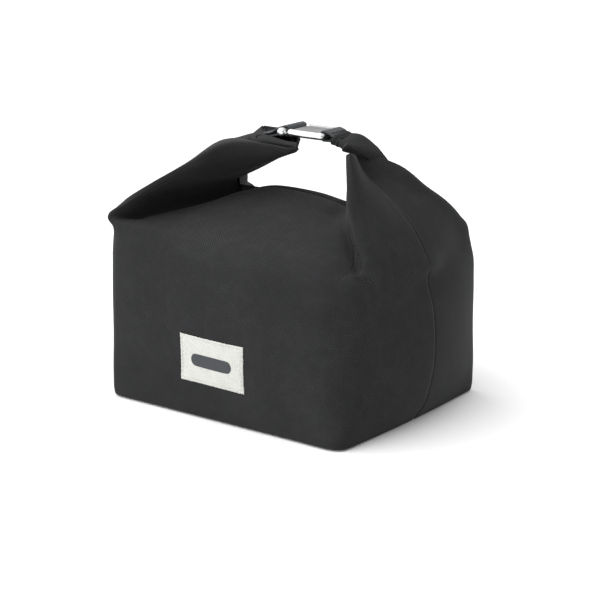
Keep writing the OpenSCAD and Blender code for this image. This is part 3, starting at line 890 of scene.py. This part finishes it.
def remeshed(ob, voxel, smooth=3):
    m = ob.modifiers.new("join", "REMESH")
    m.mode = "VOXEL"
    m.voxel_size = voxel
    m.use_smooth_shade = True
    if smooth:
        k = ob.modifiers.new("soften", "SMOOTH")
        k.factor = 0.5
        k.iterations = smooth
    mats = list(ob.data.materials)
    apply_modifiers(ob)
    ob.data.materials.clear()
    for x in mats:
        ob.data.materials.append(x)
    ob.data.shade_smooth()
    return ob


def finish_piece(ob, body, nodes):
    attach(ob, body)
    for n in ([nodes] if isinstance(nodes, str) else nodes):
        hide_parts(n)
    return ob


def strap_skin(path, y0, y1, thick, weave=None, bow=0.0):
    """A woven strap whose middle line lies in an x-z path and which spans y0 to y1; rounded edges."""
    p = np.asarray(path, float)
    t = np.gradient(p, axis=0)
    t /= np.linalg.norm(t, axis=1, keepdims=True)
    n = np.stack([-t[:, 1], t[:, 0]], axis=1)
    h = thick / 2
    w = (y1 - y0) / 2
    prof = []
    for a in np.linspace(-90, 90, 7):
        prof.append((w - h + h * math.cos(math.radians(a)), h * math.sin(math.radians(a))))
    for k in np.linspace(0.8, -0.8, 9):
        prof.append(((w - h) * k, h))
    for a in np.linspace(90, 270, 7):
        prof.append((-(w - h) + h * math.cos(math.radians(a)), h * math.sin(math.radians(a))))
    for k in np.linspace(-0.8, 0.8, 9):
        prof.append(((w - h) * k, -h))
    prof = np.array(prof)
    s = np.concatenate([[0], np.cumsum(np.linalg.norm(np.diff(p, axis=0), axis=1))])
    rings, uv = [], []
    for i in range(len(p)):
        y = (y0 + y1) / 2 + prof[:, 0]
        off = prof[:, 1] + bow * (1 - (prof[:, 0] / w) ** 2)
        rings.append(np.stack([p[i, 0] + n[i, 0] * off, y, p[i, 1] + n[i, 1] * off], axis=1))
        uv.append(np.stack([np.full(len(prof), s[i]), prof[:, 0]], axis=1))
    v, f = ring_skin(rings)
    uv = np.concatenate([np.concatenate(uv), [[0, 0], [s[-1], 0]]])
    return v, f, uv


# ---------------------------------------------------------------- seams of the outer cloth
def stitched_cord(name, pts, outward, radius, mat, weight=None, pitch=0.0030):
    """Thread lying in a seam: a thin strand that swells at each stitch."""
    p = np.asarray(pts, float)
    s = np.concatenate([[0], np.cumsum(np.linalg.norm(np.diff(p, axis=0), axis=1))])
    n = max(8, int(s[-1] / (pitch / 5)))
    q = np.linspace(0, s[-1], n)
    path = np.stack([np.interp(q, s, p[:, k]) for k in range(3)], axis=1)
    out = np.stack([np.interp(q, s, np.asarray(outward)[:, k]) for k in range(3)], axis=1)
    out /= np.linalg.norm(out, axis=1, keepdims=True)
    t = np.gradient(path, axis=0)
    t /= np.linalg.norm(t, axis=1, keepdims=True)
    side = np.cross(t, out)
    wave = np.abs(np.sin(q / pitch * math.pi)) ** 0.5
    ang = np.linspace(0, 2 * math.pi, 8, endpoint=False)
    rings = []
    for i in range(n):
        r = radius * (0.55 + 0.45 * wave[i])
        rings.append(path[i] + r * (np.outer(np.cos(ang), side[i]) * 1.3 + np.outer(np.sin(ang), out[i]) * 0.8))
    v, f = ring_skin(rings)
    ob = join_skins(name, [(v, f)], mat)
    if weight is not None:
        w = np.interp(q, s, weight)
        w = np.concatenate([np.repeat(w, 8), [w[0], w[-1]]])
        at = ob.data.attributes.new("arm", "FLOAT", "POINT")
        at.data.foreach_set("value", w.astype(np.float32))
    return ob


# side and ear seams: the near-black thread paints the shade in each seam's groove
for side, col in (("left", 0), ("right", NC - 1)):
    line, out = G["front"][:, col], N["front"][:, col]
    lo = 3
    ob = stitched_cord("side_seam_" + side + "_thread", line[lo:EAR_ROW + 1] + out[lo:EAR_ROW + 1] * 0.0001,
                       out[lo:EAR_ROW + 1], 0.00042, SEAM_SHADE_THREAD)
    finish_piece(ob, "bag", "side_seam_" + side)
    w = arm_weight(side)[EAR_ROW:, col]
    ob = stitched_cord(side + "_ear_seam_thread", line[EAR_ROW:-2] - out[EAR_ROW:-2] * 0.0002,
                       out[EAR_ROW:-2], 0.00042, SEAM_SHADE_THREAD, weight=w[:-2])
    bend(ob)

# foot seams, along the side edges of the base; their near-black thread paints the shade along the seam
skins = []
for side in (-1, 1):
    row = 7
    gf, gb = G["front"][row], G["back"][row]
    nf, nb = N["front"][row], N["back"][row]
    if side < 0:
        pts = np.concatenate([gf[:LO_COL - 8][::-1], gb[1:LO_COL - 8]])
        nn = np.concatenate([nf[:LO_COL - 8][::-1], nb[1:LO_COL - 8]])
    else:
        pts = np.concatenate([gf[HI_COL + 8:], gb[HI_COL + 8:-1][::-1]])
        nn = np.concatenate([nf[HI_COL + 8:], nb[HI_COL + 8:-1][::-1]])
    pts = pts + nn * 0.00005
    pts[:, 2] = np.maximum(pts[:, 2], 0.0012)
    ob = stitched_cord("foot_seam_part", pts, nn, 0.0004, SEAM_SHADE_THREAD)
    me = ob.data
    v = np.array([x.co for x in me.vertices]); f = [tuple(q.vertices) for q in me.polygons]
    bpy.data.objects.remove(ob)
    skins.append((v, f))
finish_piece(join_skins("foot_seam_thread", skins, SEAM_SHADE_THREAD), "bag", "boxing_seams")


# ---------------------------------------------------------------- label
def front_point(x, z, off=0.0):
    """Point on the front cloth in front of (x, z), moved out by off."""
    g = G["front"][:EAR_ROW + 1]
    zs = g[:, 11 * SUB_C + EX, 2]
    ys = np.array([np.interp(x, g[r, :, 0][np.argmin(g[r, :, 0]):np.argmax(g[r, :, 0]) + 1],
                             g[r, :, 1][np.argmin(g[r, :, 0]):np.argmax(g[r, :, 0]) + 1]) for r in range(len(g))])
    return (x, float(np.interp(z, zs, ys)) - off, z)


LC = Vector(((PATCH_LO.x + PATCH_HI.x) / 2, 0, (PATCH_LO.z + PATCH_HI.z) / 2))
LW, LH = PATCH_HI.x - PATCH_LO.x, PATCH_HI.z - PATCH_LO.z


def label_z(u, v):
    """Height of the label's face over the cloth: flat canvas, pressed at the stitch line, soft at the rim."""
    du, dv = LW / 2 - abs(u), LH / 2 - abs(v)
    d = min(du, dv)
    h = 0.0009
    h -= 0.0005 * math.exp(-(d / 0.0005) ** 2)
    h -= 0.00035 * math.exp(-((d - 0.0018) / 0.0006) ** 2)
    h += 0.00012 * math.sin(90 * u + 1) * math.sin(120 * v + 2)
    return h


def label_patch():
    nu, nv = 118, 70
    verts, faces = [], []
    rim = np.random.RandomState(3)
    fray = [0.00010 * rim.randn(nu + 1) for _ in range(2)] + [0.00010 * rim.randn(nv + 1) for _ in range(2)]
    for j in range(nv + 1):
        for i in range(nu + 1):
            u = (i / nu - 0.5) * LW
            v = (j / nv - 0.5) * LH
            # slightly pulled-in sides between the corners
            pu = u * (1 - 0.006 * math.cos(math.pi * v / LH))
            pv = v * (1 - 0.010 * math.cos(math.pi * u / LW))
            if i in (0, nu):
                pu += fray[2 if i else 3][j]
            if j in (0, nv):
                pv += fray[0 if j else 1][i]
            verts.append(front_point(LC.x + pu, LC.z + pv, label_z(u, v)))
    faces = grid_faces(nv + 1, nu + 1)
    ob = mesh_from("label_patch_canvas", verts, faces, CANVAS)
    thicken(ob, 0.0007)
    finish_piece(ob, "bag", "label_patch")


label_patch()
BW, BH = BADGE_HI.x - BADGE_LO.x, BADGE_HI.z - BADGE_LO.z
BC = Vector(((BADGE_LO.x + BADGE_HI.x) / 2, 0, (BADGE_LO.z + BADGE_HI.z) / 2))


def badge():
    m, rings = 72, []
    r0 = BH / 2
    half = BW / 2 - r0
    for k in (1.0, 0.985, 0.95, 0.85, 0.65, 0.4, 0.15):
        ring = []
        for a in np.linspace(0, 2 * math.pi, m, endpoint=False):
            cx = half * math.tanh(6 * math.cos(a))
            u = (cx + r0 * math.cos(a)) * k
            v = r0 * math.sin(a) * k
            h = 0.00122 - (0.00022 if k == 1.0 else 0.00004 if k > 0.98 else 0.0)
            ring.append(front_point(BC.x + u, BC.z + v, h))
        rings.append(ring)
    v, f = ring_skin(np.array(rings), cap=False)
    f.append(tuple((len(rings) - 1) * m + i for i in range(m)))
    ob = mesh_from("label_badge_print", v, f, BADGE)
    bm = bmesh.new(); bm.from_mesh(ob.data)
    bmesh.ops.recalc_face_normals(bm, faces=bm.faces)
    if sum(q.normal.y * q.calc_area() for q in bm.faces) > 0:
        bmesh.ops.reverse_faces(bm, faces=bm.faces)
    bm.to_mesh(ob.data); bm.free()
    thicken(ob, 0.00035)
    finish_piece(ob, "bag", "label_badge")


badge()


def label_stitches():
    skins = []
    inset = 0.0018
    hw_, hh = LW / 2 - inset, LH / 2 - inset
    corners = [(-hw_, -hh), (hw_, -hh), (hw_, hh), (-hw_, hh)]
    r = np.random.RandomState(11)
    for k in range(4):
        a, b = np.array(corners[k]), np.array(corners[(k + 1) % 4])
        length = np.linalg.norm(b - a)
        n = int(round(length / 0.0030))
        for i in range(n):
            c = a + (b - a) * ((i + 0.5) / n)
            d = (b - a) / length * 0.00115
            pts = []
            for t_ in np.linspace(-1, 1, 7):
                q = c + d * t_ + r.randn(2) * 0.00001
                q0, q1 = q[0] * (1 - 0.006 * math.cos(math.pi * q[1] / LH)), q[1] * (1 - 0.010 * math.cos(math.pi * q[0] / LW))
                pts.append(front_point(LC.x + q0, LC.z + q1, 0.00062 + 0.00018 * (1 - t_ * t_)))
            skins.append(ring_skin(rod_rings(pts, 0.00018, m=6)))
    finish_piece(join_skins("label_stitch_thread", skins, CANVAS_THREAD), "bag", "label_stitching")


label_stitches()


# ---------------------------------------------------------------- the rolled mouth
def spiral_section(m, half_w, half_t, turns, gap, phase=0.0, tail=0.0):
    """Flattened spiral, outside to inside: (m, 2) points across the width and the thickness."""
    a = np.linspace(0, 2 * math.pi * turns, m)
    k = gap * a / (2 * math.pi)
    w, t = half_w - k, np.maximum(half_t - k, 0.0008)
    ang = a + phase
    c, s_ = np.cos(ang), np.sin(ang)
    # stadium-like: flat top and bottom
    x = (w - t) * np.tanh(2.6 * c) / np.tanh(2.6) + t * c
    y = t * np.sign(s_) * np.abs(s_) ** 0.85
    return np.stack([x, y], axis=1)


def roll_piece(name, sections, mat, thick, end_in=0.0):
    """Skin of an open strip through (k, m, 3) sections, then given a thickness."""
    g = np.asarray(sections)
    k, m = g.shape[:2]
    faces = grid_faces(k, m)
    u = np.concatenate([np.zeros((k, 1)), np.cumsum(np.linalg.norm(np.diff(g, axis=1), axis=2), axis=1)], axis=1)
    v = np.concatenate([np.zeros((1, m)), np.cumsum(np.linalg.norm(np.diff(g, axis=0), axis=2), axis=0)], axis=0)
    ob = mesh_from(name, g.reshape(-1, 3), faces, mat, np.stack([u, v], axis=2).reshape(-1, 2))
    bm = bmesh.new(); bm.from_mesh(ob.data)
    bmesh.ops.recalc_face_normals(bm, faces=bm.faces)
    bm.to_mesh(ob.data); bm.free()
    m_ = ob.modifiers.new("thick", "SOLIDIFY")
    m_.thickness = thick
    m_.offset = 0.0
    apply_modifiers(ob)
    return ob


def centre_roll():
    k, secs = 40, []
    x0, x1 = ROLL_LO.x + 0.002, ROLL_HI.x - 0.002
    cy, cz = (ROLL_LO.y + ROLL_HI.y) / 2, (ROLL_LO.z + ROLL_HI.z) / 2
    tilt = math.radians(-20)
    for i in range(k):
        t_ = i / (k - 1)
        x = x0 + (x1 - x0) * t_
        sec = spiral_section(110, 0.0182, 0.0047, 2.6, 0.0017, phase=2.6)
        y = sec[:, 0] * math.cos(tilt) - sec[:, 1] * math.sin(tilt)
        z = sec[:, 0] * math.sin(tilt) + sec[:, 1] * math.cos(tilt)
        puff = 1 + 0.03 * math.sin(5 * t_ + 1) - 0.03 * (abs(2 * t_ - 1)) ** 4
        dy = 0.0006 * math.sin(6 * t_ + 0.5)
        secs.append(np.stack([np.full(len(y), x), cy + dy + y * puff, cz + z * puff], axis=1))
    ob = roll_piece("roll_centre_cloth", secs, TWILL, 0.0012)
    finish_piece(ob, "bag", "roll_centre")


centre_roll()


def arm_roll(name, path, half_w, half_t, out_dir, mat, turns=1.9, gap=0.0015, phase=0.0, start=0, trim=None, thick=0.0012, m=120):
    """Part of the roll that turns up along an arm. path: centres; half_w along the wide way (mostly y)."""
    p = catmull(np.asarray(path) * CM, 6, 0.5)
    hw_ = np.interp(np.linspace(0, 1, len(p)), np.linspace(0, 1, len(half_w)), half_w) * CM
    ht_ = np.interp(np.linspace(0, 1, len(p)), np.linspace(0, 1, len(half_t)), half_t) * CM
    wd = catmull(np.asarray(out_dir, float), 6, 0.5)
    t = np.gradient(p, axis=0)
    t /= np.linalg.norm(t, axis=1, keepdims=True)
    secs = []
    for i in range(len(p)):
        w = wd[i] / np.linalg.norm(wd[i])
        nn = np.cross(w, t[i])
        nn /= np.linalg.norm(nn) * (1 if nn[2] > 0 else -1)
        sec = spiral_section(m, hw_[i], ht_[i], turns, gap, phase)
        q = p[i] + np.outer(sec[:, 0], w) + np.outer(sec[:, 1], nn)
        if trim is not None:
            q = q + t[i] * trim(np.linspace(0, 1, m), sec / hw_[i], i / (len(p) - 1))[:, None]
        secs.append(q)
    return roll_piece(name, secs, mat, thick)


LEFT_ROLL = [
    [(-3.48, 0.95, 19.58), (-3.72, 0.5, 19.25), (-3.95, 0.05, 18.9), (-4.15, -0.35, 18.62), (-3.95, 0.2, 18.85), (-3.7, 0.65, 19.2), (-3.46, 1.05, 19.58)],
    [(-3.04, 0.25, 19.42), (-3.15, -0.35, 19.1), (-3.25, -0.85, 18.8), (-3.3, -1.0, 18.52), (-3.1, -0.2, 18.6), (-2.95, 0.9, 19.0), (-2.9, 1.35, 19.5)],
    [(-1.5, -1.05, 19.36), (-1.6, -1.45, 19.1), (-1.75, -1.7, 18.82), (-1.8, -1.65, 18.5), (-1.8, -0.4, 18.5), (-1.9, 1.2, 18.9), (-2.0, 1.55, 19.45)],
    [(-0.42, -1.4, 19.34), (-0.45, -1.75, 19.1), (-0.55, -1.95, 18.85), (-0.66, -1.85, 18.52), (-0.8, -0.6, 18.5), (-1.0, 1.0, 18.8), (-1.1, 1.4, 19.25)],
    [(0.8, -1.7, 19.28), (0.8, -1.95, 19.1), (0.8, -2.1, 18.95), (0.84, -2.0, 18.72), (0.5, -1.0, 18.7), (0.1, 0.2, 18.85), (0.0, 0.6, 19.1)],
    [(1.75, -1.85, 19.32), (1.85, -2.0, 19.2), (1.9, -2.08, 19.1), (1.9, -2.0, 18.98), (1.6, -1.6, 18.98), (1.3, -1.2, 19.05), (1.2, -1.0, 19.15)],
]
INNER_ROLL = [
    [(-3.2, 0.75, 19.42), (-3.35, 0.5, 19.2), (-3.3, 0.45, 18.95), (-3.2, 0.7, 19.1), (-3.05, 1.0, 19.38)],
    [(-2.4, -0.1, 19.36), (-2.5, -0.45, 19.1), (-2.45, -0.3, 18.8), (-2.4, 0.5, 18.85), (-2.3, 1.0, 19.3)],
    [(-1.3, -0.8, 19.26), (-1.35, -1.15, 19.0), (-1.35, -0.8, 18.72), (-1.4, 0.4, 18.72), (-1.5, 1.1, 19.1)],
    [(-0.3, -1.15, 19.22), (-0.35, -1.5, 18.98), (-0.4, -1.1, 18.7), (-0.6, 0.2, 18.7), (-0.8, 0.9, 18.95)],
    [(0.6, -1.45, 19.2), (0.6, -1.75, 19.0), (0.5, -1.4, 18.85), (0.2, -0.4, 18.85), (0.0, 0.3, 18.95)],
]


for row in LEFT_ROLL[1:5]:
    # the lower front tucks in behind the top edge of the ear
    for c, dy in ((2, 0.3), (3, 0.75)):
        x, y, z = row[c]
        row[c] = (x, y + dy, z)


def envelope(rows, sub=8):
    g = np.array(rows, float) * CM
    g = catmull(g, sub, 0.5)
    return np.swapaxes(catmull(np.swapaxes(g, 0, 1), sub, 0.5), 0, 1)


def sheets(name, grids, mat, thick):
    vs, fs, uv, base = [], [], [], 0
    for g in grids:
        k, m = g.shape[:2]
        fs += [tuple(i + base for i in q) for q in grid_faces(k, m)]
        vs.append(g.reshape(-1, 3))
        u = np.concatenate([np.zeros((k, 1)), np.cumsum(np.linalg.norm(np.diff(g, axis=1), axis=2), axis=1)], axis=1)
        v = np.concatenate([np.zeros((1, m)), np.cumsum(np.linalg.norm(np.diff(g, axis=0), axis=2), axis=0)], axis=0)
        uv.append(np.stack([u, v], axis=2).reshape(-1, 2))
        base += k * m
    ob = mesh_from(name, np.concatenate(vs), fs, mat, np.concatenate(uv))
    m_ = ob.modifiers.new("thick", "SOLIDIFY")
    m_.thickness = thick
    m_.offset = 0.0
    b_ = ob.modifiers.new("soft", "SUBSURF")
    b_.levels = 1
    apply_modifiers(ob)
    return ob


ob = sheets("left_roll_end_cloth", [envelope(LEFT_ROLL), envelope(INNER_ROLL)], TWILL, 0.0015)
finish_piece(ob, "left_arm", "left_roll_end")
ob = arm_roll("right_roll_end_cloth",
              [(4.4, 0.0, 19.6), (5.0, 0.22, 19.46), (5.58, 0.45, 18.98), (6.0, 1.4, 18.2), (6.3, 2.0, 17.5), (6.45, 2.1, 17.0)],
              [1.08, 1.45, 2.12, 1.66, 0.8, 0.3], [0.36, 0.46, 0.44, 0.34, 0.2, 0.10],
              [(-0.3, 1, 0.1), (-0.2, 1, 0.05), (0.0, 1, -0.2), (0.15, 1, -0.35), (0.3, 1, -0.5), (0.35, 1, -0.7)],
              TWILL, turns=1.6, gap=0.0016, phase=2.4)
finish_piece(ob, "right_arm", "right_roll_end")


def hem(name, path, half_w, half_t, out_dir, body, node):
    """Turned hem at the end of a roll: a close sleeve with two rows of stitching pressed into it."""
    p = catmull(np.asarray(path) * CM, 8, 0.5)
    wd = np.asarray(out_dir, float)
    t = np.gradient(p, axis=0)
    t /= np.linalg.norm(t, axis=1, keepdims=True)
    rings = []
    stitch = []
    k = len(p)
    for i in range(k):
        f = i / (k - 1)
        w = wd - t[i] * np.dot(wd, t[i]); w /= np.linalg.norm(w)
        nn = np.cross(w, t[i])
        if nn[2] < 0:
            nn = -nn
        groove = 0.00022 * sum(math.exp(-((f - c) / 0.05) ** 2) for c in (0.28, 0.72))
        edge = 0.0005 * (math.exp(-(f / 0.07) ** 2) + math.exp(-((1 - f) / 0.07) ** 2))
        ang = np.linspace(0, 2 * math.pi, 64, endpoint=False)
        w_, t_ = half_w * CM - groove - edge, half_t * CM - groove - edge
        x = (w_ - t_) * np.tanh(2.6 * np.cos(ang)) / np.tanh(2.6) + t_ * np.cos(ang)
        y = t_ * np.sign(np.sin(ang)) * np.abs(np.sin(ang)) ** 0.85
        ring = p[i] + np.outer(x, w) + np.outer(y, nn)
        rings.append(ring)
        for c in (0.28, 0.72):
            if abs(f - c) < 0.5 / (k - 1):
                stitch.append((ring, p[i]))
    v, f_ = ring_skin(rings)
    ob = join_skins(name, [(v, f_)], HEM)
    put_weave(ob, np.stack([v[:, 1] + v[:, 0] * 0.3, v[:, 2] + v[:, 0]], axis=1))
    finish_piece(ob, body, node)
    skins = []
    for ring, c in stitch:
        m = len(ring)
        loop = np.concatenate([ring, ring[:1]])
        s = np.concatenate([[0], np.cumsum(np.linalg.norm(np.diff(loop, axis=0), axis=1))])
        n = int(s[-1] / 0.0026)
        for j in range(n):
            q = (np.linspace(-0.36, 0.36, 5) + j + 0.5) * s[-1] / n
            pts = np.stack([np.interp(q, s, loop[:, d]) for d in range(3)], axis=1)
            out = pts - c
            out /= np.linalg.norm(out, axis=1, keepdims=True)
            pts = pts + out * (0.00006 + 0.00010 * np.sin(np.linspace(0, math.pi, 5)))[:, None]
            skins.append(ring_skin(rod_rings(pts, 0.00016, m=6)))
    if skins:
        ob = join_skins(name.replace("_cloth", "_stitches"), skins, THREAD)
        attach(ob, body)


hem("right_roll_hem_cloth", [(4.05, 0.0, 19.68), (4.25, 0.0, 19.64), (4.45, 0.0, 19.57), (4.65, 0.02, 19.48)], 1.13, 0.40, (-0.28, 1, 0.1), "right_arm", "right_roll_hem")
hem("left_roll_hem_cloth", [(-2.75, 0.1, 19.12), (-2.5, 0.1, 19.15), (-2.2, 0.1, 19.2), (-1.95, 0.1, 19.26)], 1.06, 0.2, (0, 1, 0), "left_arm", "left_roll_hem")

# ---------------------------------------------------------------- webbing, bar tacks and the hook
BAR_Z = 0.1985
FREE_X, PIN_X = 0.0, 0.034


def arc(cx, cz, r, a0, a1, n):
    a = np.radians(np.linspace(a0, a1, n))
    return np.stack([cx + r * np.cos(a), cz + r * np.sin(a)], axis=1)


def strap(name, path, y0, y1, thick, body, node, bow=0.0):
    v, f, uv = strap_skin(path, y0, y1, thick, bow=bow)
    ob = join_skins(name, [(v, f)], WEB)
    put_weave(ob, uv)
    return finish_piece(ob, body, node)


R_BAR = 0.0025 + 0.00085
loop_path = np.concatenate([
    catmull(np.array([(-0.0205, 0.1922), (-0.014, 0.1932), (-0.0075, 0.1948), (-0.0035, 0.1958)]), 5),
    arc(FREE_X, BAR_Z, R_BAR, -100, 100, 20)[1:],
    catmull(np.array([(-0.0042, 0.2008), (-0.0085, 0.1990), (-0.014, 0.1956), (-0.0205, 0.1944)]), 5)])
strap("left_webbing_loop_strap", loop_path, -0.0088, 0.0122, 0.0014, "left_loop", "left_webbing_loop")
tab_path = np.concatenate([
    catmull(np.array([(0.0450, 0.1960), (0.0415, 0.1956), (0.0380, 0.19525), (0.0350, 0.19525)]), 5),
    arc(PIN_X, BAR_Z, R_BAR, 280, 80, 22)[1:],
    catmull(np.array([(0.0350, 0.20175), (0.0375, 0.2010), (0.0410, 0.1992), (0.0450, 0.1974)]), 5)])
strap("right_webbing_tab_strap", tab_path, -0.0100, 0.0100, 0.0014, "right_tab", "right_webbing_tab")


def tacks(name, places, body, node):
    """Bar tacks: close zigzags of thread across a strap."""
    skins = []
    for (x, z, tilt, y0, y1) in places:
        n = 46
        pts = []
        for i in range(n):
            f = i / (n - 1)
            off = 0.0007 * (1 if i % 2 else -1)
            pts.append((x + off * math.cos(tilt), y0 + (y1 - y0) * f, z + off * math.sin(tilt)))
        skins.append(ring_skin(rod_rings(pts, 0.00022, m=6)))
    finish_piece(join_skins(name, skins, THREAD), body, node)


tacks("left_bartack_threads", [(-0.0100, 0.1990, 0.45, -0.0080, 0.0085)], "left_loop", "left_bartacks")
tacks("right_bartack_threads", [(0.0392, 0.20105, -0.45, -0.0085, 0.0085)], "right_tab", "right_bartacks")


def hook():
    skins = []
    y = 0.0130
    zc = BAR_Z

    def rod(pts, r, flat=1.0):
        skins.append(ring_skin(rod_rings(pts, r, m=20, flat=flat)))

    # pivot bar and free bar
    rod([(PIN_X, -y + 0.0005, zc), (PIN_X, 0, zc), (PIN_X, y - 0.0005, zc)], 0.0024)
    rod([(FREE_X, -y, zc), (FREE_X, 0, zc), (FREE_X, y - 0.0004, zc)], 0.0023)
    # side rails; only the back one reaches the free bar
    rod([(0.0072, -y + 0.0004, zc), (0.02, -y + 0.0002, zc), (PIN_X - 0.0005, -y + 0.0004, zc)], 0.0027)
    rod([(FREE_X, y - 0.0006, zc), (0.01, y - 0.0006, zc), (PIN_X, y - 0.0006, zc)], 0.0024)
    # knob: a short turned bead
    prof = [(-0.0036, 0.0006), (-0.0034, 0.0019), (-0.0026, 0.0029), (-0.0012, 0.0033), (0.0004, 0.0032), (0.0016, 0.0027), (0.0022, 0.0023)]
    ang = np.linspace(0, 2 * math.pi, 24, endpoint=False)
    rings = [np.stack([FREE_X + r * np.cos(ang), np.full(24, -y + dy), zc + r * np.sin(ang)], axis=1) for dy, r in prof]
    skins.append(ring_skin(rings))
    # plate between the rails, gently domed
    rings = []
    for x in np.linspace(0.0062, 0.0285, 16):
        top, bot = [], []
        for yy in np.linspace(-y + 0.0008, y - 0.0008, 13):
            dome = 0.0004 * (1 - (yy / y) ** 2)
            top.append((x, yy, zc + 0.0016 + dome))
            bot.append((x, yy, zc - 0.0012 + dome))
        rings.append(np.array(top + bot[::-1]))
    skins.append(ring_skin(rings))
    ob = join_skins("clip_hook_metal", skins, STEEL)
    remeshed(ob, 0.00045, 4)
    finish_piece(ob, "hook", "clip_hook")


hook()

# ---------------------------------------------------------------- stage, light and camera
def stage_floor():
    n = 40
    prof = [(-0.9 + 1.6 * i / n, 0.0) for i in range(n + 1)]
    verts, faces = [], []
    xs = np.linspace(-3.0, 3.0, 31)
    ys = np.linspace(-2.5, 3.5, 31)
    for yy in ys:
        for xx in xs:
            verts.append((xx, yy, -0.0002))
    faces = grid_faces(31, 31)
    t = Tree("floor_white")
    f = t.noise(3.0, 2.0)
    t.link(t.ramp(f, [(0.0, (0.86, 0.86, 0.86)), (1.0, (0.88, 0.88, 0.88))]), t.bsdf.inputs["Base Color"])
    t.bsdf.inputs["Roughness"].default_value = 0.8
    t.bsdf.inputs["Specular IOR Level"].default_value = 0.1
    t.bsdf.inputs["Emission Color"].default_value = (1, 1, 1, 1)
    t.bsdf.inputs["Emission Strength"].default_value = 0.06
    ob = mesh_from("studio_floor", verts, faces, t.mat)
    return ob


stage_floor()
world = bpy.data.worlds.new("studio")
bpy.context.scene.world = world
world.use_nodes = True
wt = world.node_tree
bg = wt.nodes["Background"]
bg.inputs[0].default_value = (1, 1, 1, 1)
wco = wt.nodes.new("ShaderNodeTexCoord")


def sky_lobe(direction, amount):
    v = Vector(direction).normalized()
    dot = wt.nodes.new("ShaderNodeVectorMath")
    dot.operation = "DOT_PRODUCT"
    dot.inputs[1].default_value = v
    wt.links.new(wco.outputs["Generated"], dot.inputs[0])
    top = wt.nodes.new("ShaderNodeMath")
    top.operation = "MAXIMUM"
    wt.links.new(dot.outputs["Value"], top.inputs[0])
    top.inputs[1].default_value = 0.0
    out = wt.nodes.new("ShaderNodeMath")
    out.operation = "MULTIPLY"
    wt.links.new(top.outputs[0], out.inputs[0])
    out.inputs[1].default_value = amount
    return out.outputs[0]


def add(a, b):
    n = wt.nodes.new("ShaderNodeMath")
    n.operation = "ADD"
    wt.links.new(a, n.inputs[0])
    if hasattr(b, "is_output"):
        wt.links.new(b, n.inputs[1])
    else:
        n.inputs[1].default_value = b
    return n.outputs[0]


sky = add(add(sky_lobe((-0.68, -0.72, 0.17), 1.92), sky_lobe((0, 0, 1), 1.06)), 0.055)
sky = add(sky, sky_lobe((0.35, 0.92, 0.2), 0.16))
path = wt.nodes.new("ShaderNodeLightPath")
pick = wt.nodes.new("ShaderNodeMix")
pick.data_type = "FLOAT"
wt.links.new(path.outputs["Is Camera Ray"], pick.inputs[0])
wt.links.new(sky, pick.inputs[2])
pick.inputs[3].default_value = 1.0
wt.links.new(pick.outputs[0], bg.inputs[1])


def area(name, loc, target, size, power, size_y=None):
    d = bpy.data.lights.new(name, "AREA")
    d.energy = power
    d.size = size
    if size_y:
        d.shape = "RECTANGLE"
        d.size_y = size_y
    o = bpy.data.objects.new(name, d)
    bpy.context.scene.collection.objects.link(o)
    o.location = loc
    o.rotation_mode = "QUATERNION"
    o.rotation_quaternion = (Vector(target) - Vector(loc)).to_track_quat("-Z", "Y")
    return o


area("key_soft", (-0.25, -0.30, 1.25), (0, 0, 0.08), 1.1, 5.0)
area("fill_left", (-1.2, -0.9, 0.5), (0, 0, 0.08), 0.8, 2.0)

cam_d = bpy.data.cameras.new("camera")
cam_d.sensor_width = 36.0
cam_d.lens = 110.0
cam = bpy.data.objects.new("camera", cam_d)
bpy.context.scene.collection.objects.link(cam)
cam.location = (0.77854 + 0.0015, -1.03384 - 0.00125, 0.4350)
cam.rotation_mode = "QUATERNION"
cam.rotation_quaternion = Vector((-0.57671, 0.77101, -0.27009)).to_track_quat("-Z", "Y")
cam_d.clip_start = 0.01
bpy.context.scene.camera = cam
bpy.context.scene.view_settings.view_transform = "Standard"
